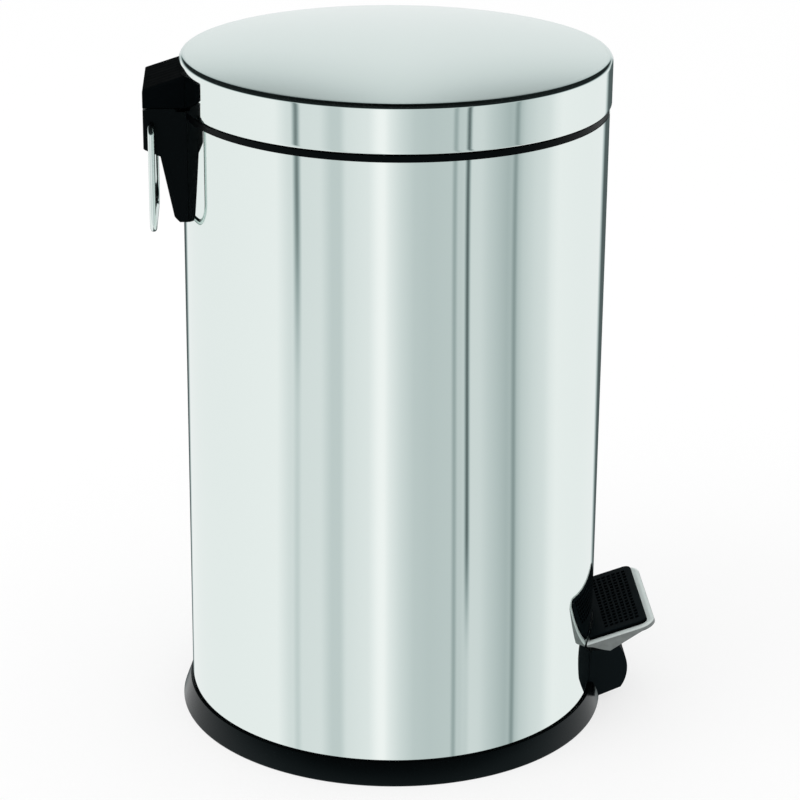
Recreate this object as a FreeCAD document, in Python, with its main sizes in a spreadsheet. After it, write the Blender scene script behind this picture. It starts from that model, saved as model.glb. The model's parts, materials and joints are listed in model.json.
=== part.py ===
"""Round pedal bin in polished steel: pedal, lever and push rod lift a domed lid hinged at the back.

Millimetres, +Z up. The origin lies on the floor, on the bin's axis. The pedal is at -Y, the hinge at +Y.
"""
import FreeCAD
import Part
import Sketcher
import math
import os
from types import SimpleNamespace

from FreeCAD import Placement, Rotation, Vector

# How near an edge's ends lie to the place they are chosen by
EDGE_TOLERANCE = 1e-6

# Driving dimensions, kept in the sheet
SIZES = {
    # Steel body
    "body_radius": 125.0,
    "body_wall": 0.6,
    "body_top": 378.5,
    "fit_gap": 0.1,
    "running_gap": 0.05,
    "moving_gap": 0.4,
    # Base ring and floor plate
    "ring_flare": 6.0,
    "ring_wall": 2.2,
    "ring_height": 14.0,
    "ring_toe": 3.0,
    "ring_bulge_radius": 24.0,
    "ring_web": 3.0,
    "ring_band": 21.0,
    "ring_lip_height": 8.0,
    "ring_lip_wall": 3.2,
    "plate_thickness": 1.2,
    "plate_margin": 8.0,
    "plate_step_run": 8.0,
    "plate_step_rise": 4.0,
    "base_screw_depth": 2.2,
    # Screws
    "screw_radius": 1.5,
    "screw_head_radius": 3.5,
    "screw_brim": 1.0,
    "screw_crown": 1.2,
    "screw_crown_run": 1.7,
    "screw_depth": 6.5,
    "screw_angle": 6.0,
    # Top collar
    "collar_height": 4.1,
    "collar_inset": 0.3,
    "collar_chamfer": 0.6,
    "collar_skirt_depth": 12.0,
    "collar_skirt_wall": 2.6,
    "shelf_width": 13.2,
    "shelf_drop": 5.3,
    "shelf_thickness": 2.2,
    # Inner bucket
    "bucket_flange": 3.9,
    "bucket_shelf_gap": 0.7,
    "bucket_taper": 11.8,
    "bucket_foot_gap": 4.5,
    "bucket_wall": 1.8,
    "bucket_corner": 7.0,
    "bucket_flange_thickness": 2.0,
    # Lid
    "lid_overhang": 1.0,
    "lid_wall": 0.7,
    "lid_lift": 0.4,
    "lid_band": 25.0,
    "lid_edge_radius": 5.0,
    "lid_crown": 13.0,
    "hem_height": 4.0,
    "hem_wall": 1.5,
    "liner_height": 15.0,
    "liner_wall": 2.0,
    "liner_flange": 6.5,
    "liner_recess_half": 21.0,
    "bumper_radius": 1.3,
    # Hinge
    "hinge_stand": 16.0,
    "hinge_drop": 3.5,
    "hinge_width": 58.0,
    "hinge_back": 4.8,
    "hinge_part_height": 10.0,
    "block_outer_rise": 20.4,
    "block_inner_rise": 28.9,
    "block_rounding": 1.6,
    "knuckle_width": 14.0,
    "pin_radius": 1.9,
    "pin_length": 43.0,
    "bracket_shoulder_drop": 14.3,
    "bracket_waist_step": 4.2,
    "bracket_waist_stand": 12.3,
    "bracket_taper_run": 36.3,
    "bracket_heel_stand": 4.8,
    "bracket_toe_run": 3.2,
    "bracket_rounding": 1.6,
    "channel_floor_drop": 13.0,
    "channel_sill_drop": 6.0,
    "channel_wall": 3.0,
    "bracket_screw_drop": 33.0,
    "lid_screw_rise": 8.0,
    "notch_room": 1.3,
    # Lid finger and push rod
    "finger_angle": 35.75,
    "finger_overhang": 1.1,
    "finger_thickness": 5.0,
    "rod_wall_gap": 3.4,
    "rod_radius": 2.5,
    "rod_touch_gap": 0.3,
    "guide_half": 7.0,
    "guide_depth": 5.0,
    "guide_height": 12.0,
    "guide_rise": 82.0,
    "guide_drop": 88.5,
    # Wire carrying handle
    "handle_stand": 6.0,
    "handle_drop": 63.5,
    "handle_bend": 5.0,
    "handle_corner": 14.0,
    "handle_end_gap": 0.8,
    # Lever
    "pivot_reach": 50.0,
    "pivot_height": 28.0,
    "lever_width": 20.0,
    "lever_thickness": 3.0,
    "lever_tail_rise": 4.9,
    "lever_tail_end": 1.5,
    "lever_hub_radius": 6.0,
    "lever_pin_radius": 2.9,
    "lever_bend_inset": 6.0,
    "ear_thickness": 2.0,
    "ear_depth": 18.0,
    "ear_crown": 7.5,
    "ear_rounding": 7.0,
    "lever_pin_overhang": 1.6,
    "rivet_radius": 2.0,
    "rivet_head_radius": 3.4,
    "rivet_head_height": 1.4,
    "rivet_margin": 0.6,
    # Pedal
    "pedal_tilt": 18.7,
    "pedal_height": 50.2,
    "pedal_half": 44.0,
    "pedal_length": 37.0,
    "pedal_sheet": 1.5,
    "pedal_corner": 8.0,
    "pedal_skirt": 3.4,
    "pedal_bend": 1.8,
    "pedal_body_gap": 0.5,
    "flange_heel": 4.6,
    "flange_depth": 9.6,
    "pad_margin": 2.6,
    "pad_outer_margin": 5.6,
    "pad_thickness": 2.2,
    "pad_corner": 5.0,
    "tongue_margin": 7.5,
    "pedal_rivet_end": 6.0,
    "pedal_rivet_step": 13.0,
    # Slot in the body and guard below the pedal
    "slot_side_gap": 2.0,
    "slot_head_gap": 2.9,
    "slot_depth": 22.0,
    "slot_corner": 3.0,
    "guard_half": 26.0,
    "guard_nose_radius": 24.0,
    "guard_toe_stand": 17.3,
    "guard_toe_rise": 6.0,
    "guard_sole_stand": 3.3,
    "guard_sole_height": 4.5,
    "guard_brow_stand": 15.6,
    "guard_brow_rise": 3.8,
    "guard_root_rise": 3.5,
    "guard_channel_depth": 7.0,
    "guard_screw_rise": 5.0,
    "guard_screw_angle": 7.2,
}


class Size:
    """A size with its present value and the sheet formula that it comes from."""

    def __init__(self, value, formula):
        self.value = float(value)
        self.formula = formula

    def joined(self, other, sign, value):
        return Size(value, f"({self.formula} {sign} {as_size(other).formula})")

    def __add__(self, other):
        return self.joined(other, "+", self.value + as_size(other).value)

    def __sub__(self, other):
        return self.joined(other, "-", self.value - as_size(other).value)

    def __mul__(self, other):
        return self.joined(other, "*", self.value * as_size(other).value)

    def __truediv__(self, other):
        return self.joined(other, "/", self.value / as_size(other).value)

    def __neg__(self):
        return Size(-self.value, f"(-{self.formula})")

    def __radd__(self, other):
        return as_size(other) + self

    def __rsub__(self, other):
        return as_size(other) - self

    def __rmul__(self, other):
        return as_size(other) * self


def as_size(value):
    """A plain number as a size with no sheet cell behind it."""
    if isinstance(value, Size):
        return value
    return Size(value, repr(float(value)))


def root(value):
    """Square root of a size."""
    return Size(math.sqrt(value.value), f"sqrt({value.formula})")


def sine(angle):
    """Sine of an angle in degrees."""
    return Size(math.sin(math.radians(angle.value)), f"sin({angle.formula})")


def cosine(angle):
    """Cosine of an angle in degrees."""
    return Size(math.cos(math.radians(angle.value)), f"cos({angle.formula})")


doc = FreeCAD.newDocument("pedal_bin")
sheet = doc.addObject("Spreadsheet::Sheet", "dims")
for row, (alias, number) in enumerate(SIZES.items(), start=1):
    sheet.set(f"A{row}", alias)
    sheet.set(f"B{row}", str(number))
    sheet.setAlias(f"B{row}", alias)
doc.recompute()
d = SimpleNamespace(**{alias: Size(sheet.get(alias), f"dims.{alias}") for alias in SIZES})

# Places that several pieces share
body_inner = d.body_radius - d.body_wall
ring_flare_radius = d.body_radius + d.ring_flare
ring_top_radius = d.body_radius + d.ring_wall
ring_inner_radius = d.body_radius - d.ring_band
ring_lip_inner = body_inner - d.fit_gap - d.ring_lip_wall
plate_step_outer = ring_inner_radius - d.plate_margin
plate_step_inner = plate_step_outer - d.plate_step_run
floor_plate_top = d.ring_web + d.plate_step_rise + d.plate_thickness
base_screw_circle = (ring_inner_radius + ring_lip_inner) / 2
screw_hole_radius = d.screw_radius + d.fit_gap
collar_top = d.body_top + d.collar_height
collar_skirt_outer = body_inner - d.fit_gap
collar_skirt_inner = collar_skirt_outer - d.collar_skirt_wall
collar_outer = d.body_radius - d.collar_inset
bumper_circle = (collar_outer - d.collar_chamfer + collar_skirt_inner) / 2
shelf_top = d.body_top - d.shelf_drop
shelf_inner_radius = collar_skirt_inner - d.shelf_width
bucket_flange_radius = shelf_inner_radius + d.bucket_flange
bucket_top_radius = shelf_inner_radius - d.bucket_shelf_gap
bucket_foot_radius = bucket_top_radius - d.bucket_taper
lid_bottom = collar_top + d.lid_lift
lid_shoulder = lid_bottom + d.lid_band
lid_radius = d.body_radius + d.lid_overhang
lid_inner = lid_radius - d.lid_wall
hinge_reach = lid_radius + d.hinge_stand
hinge_height = d.body_top - d.hinge_drop
hinge_face = hinge_reach + d.hinge_back
parting = hinge_height + d.hinge_part_height
channel_half = d.knuckle_width / 2 + d.moving_gap + d.fit_gap
finger_sin = sine(d.finger_angle)
finger_cos = cosine(d.finger_angle)
rod_reach = body_inner - d.rod_wall_gap
notch_low = hinge_height - (hinge_reach - body_inner) * finger_sin / finger_cos - d.notch_room
notch_front = bucket_flange_radius + d.moving_gap
pin_hole = d.pin_radius + d.running_gap
lever_half = d.lever_width / 2
pedal_sin = sine(d.pedal_tilt)
pedal_cos = cosine(d.pedal_tilt)
bracket_screw_height = hinge_height - d.bracket_screw_drop
lid_screw_height = lid_bottom + d.lid_screw_rise
bracket_top = parting - d.moving_gap - d.fit_gap
lever_pin_hole = d.lever_pin_radius + d.running_gap
lever_tail_span = rod_reach + d.pivot_reach
lever_tail_drop = d.pivot_height - d.ring_lip_height - d.lever_tail_rise
slot_half = lever_half + d.slot_side_gap
slot_high = d.pedal_height + d.slot_head_gap
slot_low = slot_high - d.slot_depth
bucket_foot = slot_high + d.bucket_foot_gap
guard_root_height = slot_low + d.guard_root_rise
guard_brow_height = guard_root_height + d.guard_brow_rise
guard_screw_height = d.ring_height + d.guard_screw_rise
liner_bottom = lid_bottom + d.lid_lift
liner_outer = lid_radius - d.hem_wall - d.fit_gap
base_screw_spots = [
    (cosine(as_size(angle)) * base_screw_circle, sine(as_size(angle)) * base_screw_circle)
    for angle in (45, 135, 225, 315)
]
bracket_rivet_spread = d.ear_depth / 2 - d.rivet_head_radius - d.rivet_margin
bracket_rivet_spots = [way * bracket_rivet_spread - d.pivot_reach for way in (-1, 1)]
pedal_tongue = d.pedal_length - d.tongue_margin
pedal_rivet_last = pedal_tongue - d.pedal_rivet_end
pedal_rivet_spots = [pedal_rivet_last - d.pedal_rivet_step, pedal_rivet_last]
pedal_turn = Rotation(Vector(1, 0, 0), -d.pedal_tilt.value).multiply(Rotation(Vector(0, 0, 1), 180))
pedal_place = Placement(Vector(0, -d.body_radius.value, d.pedal_height.value), pedal_turn)
pieces = []


def new_body(label):
    """An empty piece; its label names its file."""
    body = doc.addObject("PartDesign::Body", label)
    body.Label = label
    pieces.append(body)
    return body


def sketch_on(body, plane, name, offset=None, lift=None):
    """A sketch on one of the piece's own origin planes, moved by an offset or lifted along its normal."""
    sketch = body.newObject("Sketcher::SketchObject", f"{body.Label}_{name}")
    support = next(item for item in body.Origin.OriginFeatures if item.Role == plane)
    sketch.AttachmentSupport = [(support, "")]
    sketch.MapMode = "FlatFace"
    if offset is not None:
        sketch.AttachmentOffset = offset
    if lift is not None:
        sketch.AttachmentOffset = Placement(Vector(0, 0, lift.value), Rotation())
        sketch.setExpression("AttachmentOffset.Base.z", lift.formula)
    return sketch


def bind(sketch, kind, places, size):
    """Add one dimension to a sketch and tie it to the sheet."""
    index = sketch.addConstraint(Sketcher.Constraint(kind, *places, size.value))
    if "dims." in size.formula:
        sketch.setExpression(f"Constraints[{index}]", size.formula)


def pin_down(sketch, geometry, end, x, y):
    """Hold a point of a sketch at its two coordinates."""
    for kind, axis, size in (("DistanceX", -2, as_size(x)), ("DistanceY", -1, as_size(y))):
        if "dims." in size.formula or size.value != 0.0:
            bind(sketch, kind, (geometry, end), size)
        else:
            sketch.addConstraint(Sketcher.Constraint("PointOnObject", geometry, end, axis))


def bent_stretch(start, finish, radius):
    """Arc from start to finish, to the left for a positive radius and to the right for a negative one."""
    chord = finish - start
    half = chord.Length / 2
    normal = Vector(-chord.y, chord.x, 0).normalize()
    rise = math.sqrt(max(radius * radius - half * half, 0.0))
    centre = (start + finish) * 0.5 + normal * math.copysign(rise, radius)
    first, last = (start, finish) if radius > 0 else (finish, start)
    angles = [math.atan2(point.y - centre.y, point.x - centre.x) for point in (first, last)]
    circle = Part.Circle(centre, Vector(0, 0, 1), abs(radius))
    return Part.ArcOfCircle(circle, angles[0], angles[1])


def outline(sketch, points, closed=True):
    """Draw an outline; a third value bends the stretch that arrives at that point to this radius."""
    flat = [(as_size(point[0]), as_size(point[1])) for point in points]
    spots = [Vector(x.value, y.value, 0) for x, y in flat]
    count = len(points) if closed else len(points) - 1
    ends = []
    for index in range(count):
        after = (index + 1) % len(points)
        if len(points[after]) == 2:
            geometry = sketch.addGeometry(Part.LineSegment(spots[index], spots[after]))
            ends.append((geometry, 1, 2))
            continue
        radius = as_size(points[after][2])
        geometry = sketch.addGeometry(bent_stretch(spots[index], spots[after], radius.value))
        ends.append((geometry, 1, 2) if radius.value > 0 else (geometry, 2, 1))
    for index in range(count):
        geometry, start, finish = ends[index]
        pin_down(sketch, geometry, start, *flat[index])
        if index + 1 < count or closed:
            following = ends[(index + 1) % count]
            sketch.addConstraint(
                Sketcher.Constraint("Coincident", geometry, finish, following[0], following[1])
            )
        else:
            pin_down(sketch, geometry, finish, *flat[index + 1])
        after = points[(index + 1) % len(points)]
        if len(after) == 3:
            radius = as_size(after[2])
            bind(sketch, "Radius", (geometry,), radius if radius.value > 0 else -radius)


def ring(sketch, x, y, radius):
    """Draw a full circle."""
    centre = Vector(as_size(x).value, as_size(y).value, 0)
    geometry = sketch.addGeometry(Part.Circle(centre, Vector(0, 0, 1), radius.value))
    pin_down(sketch, geometry, 3, x, y)
    bind(sketch, "Radius", (geometry,), radius)


def feature(body, kind, sketch, name):
    """A feature of the piece that works on one sketch."""
    made = body.newObject(f"PartDesign::{kind}", f"{body.Label}_{name}")
    made.Profile = sketch
    sketch.Visibility = False
    return made


def pad(body, sketch, name, length, symmetric=False, reverse=False):
    """Give a sketch thickness."""
    made = feature(body, "Pad", sketch, name)
    made.SideType = "Symmetric" if symmetric else "One side"
    made.Reversed = reverse
    made.Length = length.value
    made.setExpression("Length", length.formula)
    doc.recompute()
    return made


def pocket(body, sketch, name, length, symmetric=False, reverse=False):
    """Cut a sketch out of the piece, and make sure that it took something away."""
    before = body.Shape.Volume
    made = feature(body, "Pocket", sketch, name)
    made.SideType = "Symmetric" if symmetric else "One side"
    made.Reversed = reverse
    made.Length = length.value
    made.setExpression("Length", length.formula)
    doc.recompute()
    if not body.Shape.Volume < before:
        raise RuntimeError(f"{made.Name} cuts nothing")
    return made


def revolve(body, sketch, name):
    """Turn a sketch round the piece's upright axis."""
    made = feature(body, "Revolution", sketch, name)
    made.ReferenceAxis = (sketch, ["V_Axis"])
    made.Angle = 360.0
    doc.recompute()
    return made


def groove(body, sketch, name):
    """Turn a cut round the piece's upright axis."""
    before = body.Shape.Volume
    made = feature(body, "Groove", sketch, name)
    made.ReferenceAxis = (sketch, ["V_Axis"])
    made.Angle = 360.0
    doc.recompute()
    if not body.Shape.Volume < before:
        raise RuntimeError(f"{made.Name} cuts nothing")
    return made


def round_edges(body, name, radius, chosen):
    """Round the edges that a test on their two end points chooses."""
    tip = body.Tip
    names = []
    for index, edge in enumerate(tip.Shape.Edges, start=1):
        points = [vertex.Point for vertex in edge.Vertexes]
        if len(points) == 2 and chosen(*points):
            names.append(f"Edge{index}")
    made = body.newObject("PartDesign::Fillet", f"{body.Label}_{name}")
    made.Base = (tip, names)
    made.Radius = radius.value
    made.setExpression("Radius", radius.formula)
    doc.recompute()
    return made


def place(piece, x=0.0, y=0.0, z=0.0, rotation=None):
    """Set a piece's place, tied to the sheet."""
    sizes = {"x": as_size(x), "y": as_size(y), "z": as_size(z)}
    base = Vector(sizes["x"].value, sizes["y"].value, sizes["z"].value)
    piece.Placement = Placement(base, rotation or Rotation())
    for axis, size in sizes.items():
        if "dims." in size.formula:
            piece.setExpression(f".Placement.Base.{axis}", size.formula)


def turned_offset(degrees):
    """Offset that swings an upright sketch round the bin's axis."""
    return Placement(Vector(), Rotation(Vector(0, 1, 0), degrees))


def box_outline(half, low, high):
    """Rectangle about the sketch's upright axis."""
    return [(-half, low), (half, low), (half, high), (-half, high)]


def rounded_box(half, low, high, corner):
    """Rectangle about the sketch's upright axis with round corners."""
    return [
        (corner - half, low, corner),
        (half - corner, low),
        (half, low + corner, corner),
        (half, high - corner),
        (half - corner, high, corner),
        (corner - half, high),
        (-half, high - corner, corner),
        (-half, low + corner),
    ]


def radial_holes(body, name, height, spread, depth, front=False):
    """Two screw holes through an upright wall, square to it, on either side of the middle."""
    for number, side in enumerate((-1, 1), start=1):
        hole = sketch_on(body, "XZ_Plane", f"{name}_{number}", turned_offset(side * spread.value))
        ring(hole, 0, height, screw_hole_radius)
        pocket(body, hole, f"{name}_cut_{number}", depth, reverse=front)


def body_shell():
    """Rolled steel cylinder with the pedal slot in front and the finger notch behind."""
    body = new_body("body_shell")
    wall = sketch_on(body, "XZ_Plane", "wall")
    outline(wall, [
        (body_inner, d.ring_web),
        (d.body_radius, d.ring_web),
        (d.body_radius, d.body_top),
        (body_inner, d.body_top),
    ])
    revolve(body, wall, "cylinder")
    slot = sketch_on(body, "XZ_Plane", "slot")
    outline(slot, rounded_box(slot_half, slot_low, slot_high, d.slot_corner))
    pocket(body, slot, "pedal_slot", d.body_radius * 2, reverse=True)
    notch = sketch_on(body, "XZ_Plane", "notch")
    outline(notch, box_outline(channel_half, notch_low, collar_top))
    pocket(body, notch, "finger_notch", d.body_radius * 2)
    radial_holes(body, "bracket_hole", bracket_screw_height, d.screw_angle, d.body_radius * 2)
    radial_holes(body, "guard_hole", guard_screw_height, d.guard_screw_angle, d.body_radius * 2,
                 front=True)


def top_collar():
    """Moulded rim on the body's top edge, with the shelf that the bucket hangs on."""
    body = new_body("top_collar")
    rim = sketch_on(body, "XZ_Plane", "rim")
    outline(rim, [
        (collar_outer, d.body_top),
        (collar_outer, collar_top - d.collar_chamfer),
        (collar_outer - d.collar_chamfer, collar_top),
        (collar_skirt_inner, collar_top),
        (collar_skirt_inner, shelf_top),
        (shelf_inner_radius, shelf_top),
        (shelf_inner_radius, shelf_top - d.shelf_thickness),
        (collar_skirt_inner, shelf_top - d.shelf_thickness),
        (collar_skirt_inner, d.body_top - d.collar_skirt_depth),
        (collar_skirt_outer, d.body_top - d.collar_skirt_depth),
        (collar_skirt_outer, d.body_top),
    ])
    revolve(body, rim, "moulding")
    notch = sketch_on(body, "XY_Plane", "notch")
    outline(notch, box_outline(channel_half, notch_front, d.body_radius))
    pocket(body, notch, "finger_notch", collar_top * 3, symmetric=True)


def ring_outside(gap):
    """Flared outer side of the base ring, from the floor to its top edge, with a gap round it."""
    return [
        (ring_flare_radius + gap, d.ring_toe),
        (ring_top_radius + gap, d.ring_height, d.ring_bulge_radius),
    ]


def base_ring():
    """Moulded floor ring: a flared skirt, a slot for the steel edge and a web under the floor plate."""
    body = new_body("base_ring")
    section = sketch_on(body, "XZ_Plane", "section")
    outline(section, [
        (ring_inner_radius, 0),
        (ring_flare_radius, 0),
        *ring_outside(as_size(0.0)),
        (d.body_radius + d.fit_gap, d.ring_height),
        (d.body_radius + d.fit_gap, d.ring_web),
        (body_inner - d.fit_gap, d.ring_web),
        (body_inner - d.fit_gap, d.ring_lip_height),
        (ring_lip_inner, d.ring_lip_height),
        (ring_lip_inner, d.ring_web),
        (ring_inner_radius, d.ring_web),
    ])
    revolve(body, section, "moulding")
    holes = sketch_on(body, "XY_Plane", "screw_holes", lift=d.ring_web)
    for x, y in base_screw_spots:
        ring(holes, x, y, screw_hole_radius)
    pocket(body, holes, "screw_pilots", d.base_screw_depth + d.fit_gap)


def base_plate():
    """Pressed steel floor plate, raised in the middle, screwed down to the ring's web."""
    body = new_body("base_plate")
    rise = d.ring_web + d.plate_step_rise
    edge = ring_lip_inner - d.fit_gap
    section = sketch_on(body, "XZ_Plane", "section")
    outline(section, [
        (0, rise),
        (plate_step_inner, rise),
        (plate_step_outer, d.ring_web),
        (edge, d.ring_web),
        (edge, d.ring_web + d.plate_thickness),
        (plate_step_outer, d.ring_web + d.plate_thickness),
        (plate_step_inner, rise + d.plate_thickness),
        (0, rise + d.plate_thickness),
    ])
    revolve(body, section, "pressing")
    holes = sketch_on(body, "XY_Plane", "screw_holes")
    for x, y in base_screw_spots:
        ring(holes, x, y, screw_hole_radius)
    for y in bracket_rivet_spots:
        ring(holes, 0, y, d.rivet_radius + d.running_gap)
    pocket(body, holes, "screw_clearance", floor_plate_top * 3, symmetric=True)


def screw(label, depth, x, y, z, rotation):
    """Pan-head screw: its head stands on its own XY plane and its shank runs down."""
    body = new_body(label)
    section = sketch_on(body, "XZ_Plane", "section")
    outline(section, [
        (0, -depth),
        (d.screw_radius, -depth),
        (d.screw_radius, 0),
        (d.screw_head_radius, 0),
        (d.screw_head_radius, d.screw_brim),
        (d.screw_head_radius - d.screw_crown_run, d.screw_brim + d.screw_crown),
        (0, d.screw_brim + d.screw_crown),
    ])
    revolve(body, section, "turning")
    place(body, x, y, z, rotation)


def base_screws():
    """Four screws that hold the floor plate to the ring."""
    for number, (x, y) in enumerate(base_screw_spots, start=1):
        depth = d.plate_thickness + d.base_screw_depth
        screw(f"base_screw_{number}", depth, x, y, d.ring_web + d.plate_thickness, Rotation())


def radial_screws(name, seat, height, spread, front=False):
    """Two screws driven outwards through a round wall from inside the bin, with their rims on it."""
    flat = root(seat * seat - d.screw_head_radius * d.screw_head_radius)
    for number, side in enumerate((-1, 1), start=1):
        way = -1 if front else 1
        turn = Rotation(Vector(0, 0, 1), side * way * spread.value)
        outward = turn.multiply(Rotation(Vector(1, 0, 0), 90 * way))
        x = sine(spread) * flat * (-side)
        y = cosine(spread) * flat * way
        screw(f"{name}_{number}", d.screw_depth, x, y, height, outward)


def pedal_guard():
    """Round-nosed stop below the pedal, saddled on the body and the base ring."""
    body = new_body("pedal_guard")
    inside = -ring_lip_inner
    brow_reach = d.body_radius + d.guard_brow_stand
    side = sketch_on(body, "YZ_Plane", "side")
    outline(side, [
        (inside, guard_root_height),
        (-brow_reach, guard_brow_height),
        (-d.body_radius - d.guard_toe_stand, d.guard_sole_height + d.guard_toe_rise, d.guard_nose_radius),
        (-d.body_radius - d.guard_sole_stand, d.guard_sole_height),
        (inside, d.guard_sole_height),
    ])
    pad(body, side, "block", d.guard_half * 2, symmetric=True)
    saddle = sketch_on(body, "XZ_Plane", "saddle")
    gap = d.fit_gap
    outline(saddle, [
        (0, -gap),
        (ring_flare_radius + gap, -gap),
        *ring_outside(gap),
        (ring_top_radius + gap, d.ring_height + gap),
        (d.body_radius + gap, d.ring_height + gap),
        (d.body_radius + gap, d.pedal_height),
        (0, d.pedal_height),
    ])
    groove(body, saddle, "saddle_cut")
    channel = sketch_on(body, "YZ_Plane", "channel")
    outline(channel, [
        (inside, guard_root_height - d.guard_channel_depth),
        (inside, d.pedal_height),
        (-hinge_reach * 2, d.pedal_height),
        (-hinge_reach * 2, guard_brow_height - d.guard_channel_depth),
        (-brow_reach, guard_brow_height - d.guard_channel_depth),
    ])
    pocket(body, channel, "lever_channel", slot_half * 2, symmetric=True)
    radial_holes(body, "screw_hole", guard_screw_height, d.guard_screw_angle,
                 d.body_radius + d.screw_depth, front=True)


def hinge_bracket():
    """Moulded bracket on the back of the body: two cheeks for the pin above a tapering foot."""
    body = new_body("hinge_bracket")
    inside = shelf_inner_radius
    cheek = bracket_top - hinge_height
    hem_rise = lid_bottom - hinge_height
    hem_run = hinge_reach - lid_radius
    swing = root(hem_rise * hem_rise + hem_run * hem_run) - d.moving_gap
    ledge_rise = hem_rise - d.moving_gap
    shoulder = hinge_height - d.bracket_shoulder_drop
    waist = shoulder - d.bracket_waist_step
    heel = waist - d.bracket_taper_run
    toe = heel - d.bracket_toe_run
    side = sketch_on(body, "YZ_Plane", "side")
    outline(side, [
        (inside, toe),
        (d.body_radius + d.bracket_rounding, toe),
        (d.body_radius + d.bracket_heel_stand, heel),
        (d.body_radius + d.bracket_waist_stand, waist),
        (hinge_face, shoulder),
        (hinge_face, hinge_height + root(cheek * cheek - d.hinge_back * d.hinge_back)),
        (hinge_reach, bracket_top, cheek),
        (hinge_reach - root(swing * swing - cheek * cheek), bracket_top),
        (hinge_reach - root(swing * swing - ledge_rise * ledge_rise), hinge_height + ledge_rise),
        (inside, hinge_height + ledge_rise),
    ])
    pad(body, side, "block", d.hinge_width, symmetric=True)
    half = d.hinge_width.value / 2

    def on_flank(first, last):
        beyond = min(first.y, last.y) > d.body_radius.value
        upright = abs(first.z - last.z) > abs(first.y - last.y)
        return beyond and upright and min(abs(first.x), abs(last.x)) > half - EDGE_TOLERANCE

    round_edges(body, "flank_rounding", d.bracket_rounding, on_flank)
    seat = sketch_on(body, "XY_Plane", "seat")
    ring(seat, 0, 0, d.body_radius + d.fit_gap)
    pocket(body, seat, "body_seat", collar_top * 3, symmetric=True)
    channel = sketch_on(body, "YZ_Plane", "channel")
    outline(channel, [
        (inside, hinge_height - d.channel_floor_drop),
        (hinge_face - d.channel_wall, hinge_height - d.channel_floor_drop),
        (hinge_face - d.channel_wall, hinge_height - d.channel_sill_drop),
        (hinge_face + d.channel_wall, hinge_height - d.channel_sill_drop),
        (hinge_face + d.channel_wall, parting),
        (inside, parting),
    ])
    pocket(body, channel, "finger_channel", channel_half * 2, symmetric=True)
    bore = sketch_on(body, "YZ_Plane", "bore")
    ring(bore, hinge_reach, hinge_height, pin_hole)
    pocket(body, bore, "pin_bore", d.hinge_width * 2, symmetric=True)
    radial_holes(body, "screw_hole", bracket_screw_height, d.screw_angle, d.body_radius + d.screw_depth)


def cross_pin(label, radius, length, y, z):
    """Plain pin across the bin."""
    pin = doc.addObject("Part::Cylinder", label)
    pin.Label = label
    pin.setExpression("Radius", radius.formula)
    pin.setExpression("Height", length.formula)
    place(pin, -length / 2, y, z, Rotation(Vector(0, 1, 0), 90))
    pieces.append(pin)


def lever_bracket():
    """Folded steel bracket on the floor plate that carries the lever's pin between its ears."""
    body = new_body("lever_bracket")
    inner = lever_half + d.moving_gap
    outer = inner + d.ear_thickness
    ear_top = d.pivot_height + d.ear_crown
    shape = sketch_on(body, "XZ_Plane", "fold", lift=d.pivot_reach)
    outline(shape, [
        (-outer, floor_plate_top),
        (outer, floor_plate_top),
        (outer, ear_top),
        (inner, ear_top),
        (inner, floor_plate_top + d.ear_thickness),
        (-inner, floor_plate_top + d.ear_thickness),
        (-inner, ear_top),
        (-outer, ear_top),
    ])
    pad(body, shape, "strip", d.ear_depth, symmetric=True)

    def on_ear_corner(first, last):
        crown = min(first.z, last.z) > ear_top.value - EDGE_TOLERANCE
        return crown and abs(first.y - last.y) < EDGE_TOLERANCE

    round_edges(body, "ear_rounding", d.ear_rounding, on_ear_corner)
    bore = sketch_on(body, "YZ_Plane", "bore")
    ring(bore, -d.pivot_reach, d.pivot_height, lever_pin_hole)
    pocket(body, bore, "pin_bore", outer * 4, symmetric=True)
    holes = sketch_on(body, "XY_Plane", "rivet_holes")
    for y in bracket_rivet_spots:
        ring(holes, 0, y, d.rivet_radius + d.running_gap)
    pocket(body, holes, "rivet_clearance", d.pivot_height * 2, symmetric=True)


def rivet(label, above, below, x, y, z, rotation, upper_head=True):
    """Rivet through two layers: its shank spans them and its heads close on them."""
    body = new_body(label)
    section = sketch_on(body, "XZ_Plane", "section")
    closed = [
        (0, -below - d.rivet_head_height),
        (d.rivet_head_radius, -below - d.rivet_head_height),
        (d.rivet_head_radius, -below),
        (d.rivet_radius, -below),
        (d.rivet_radius, above),
    ]
    if upper_head:
        closed += [(d.rivet_head_radius, above), (d.rivet_head_radius, above + d.rivet_head_height)]
        closed += [(0, above + d.rivet_head_height)]
    else:
        closed += [(0, above)]
    outline(section, closed)
    revolve(body, section, "turning")
    place(body, x, y, z, rotation)


def bracket_rivets():
    """Two rivets that fix the lever bracket to the floor plate."""
    for number, y in enumerate(bracket_rivet_spots, start=1):
        label = f"bracket_rivet_{number}"
        rivet(label, d.ear_thickness, d.plate_thickness, 0, y, floor_plate_top, Rotation())


def rod_guides():
    """Two moulded guides on the inside of the back wall that the push rod slides in."""
    arc = body_inner - d.fit_gap
    front = rod_reach - d.guide_depth
    corner = root(arc * arc - d.guide_half * d.guide_half)
    for number, low in enumerate((d.pivot_height + d.guide_rise, d.body_top - d.guide_drop), start=1):
        body = new_body(f"rod_guide_{number}")
        plan = sketch_on(body, "XY_Plane", "plan", lift=low)
        outline(plan, [
            (-d.guide_half, front),
            (d.guide_half, front),
            (d.guide_half, corner),
            (-d.guide_half, corner, arc),
        ])
        ring(plan, 0, rod_reach, d.rod_radius + d.running_gap)
        pad(body, plan, "block", d.guide_height)


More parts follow.
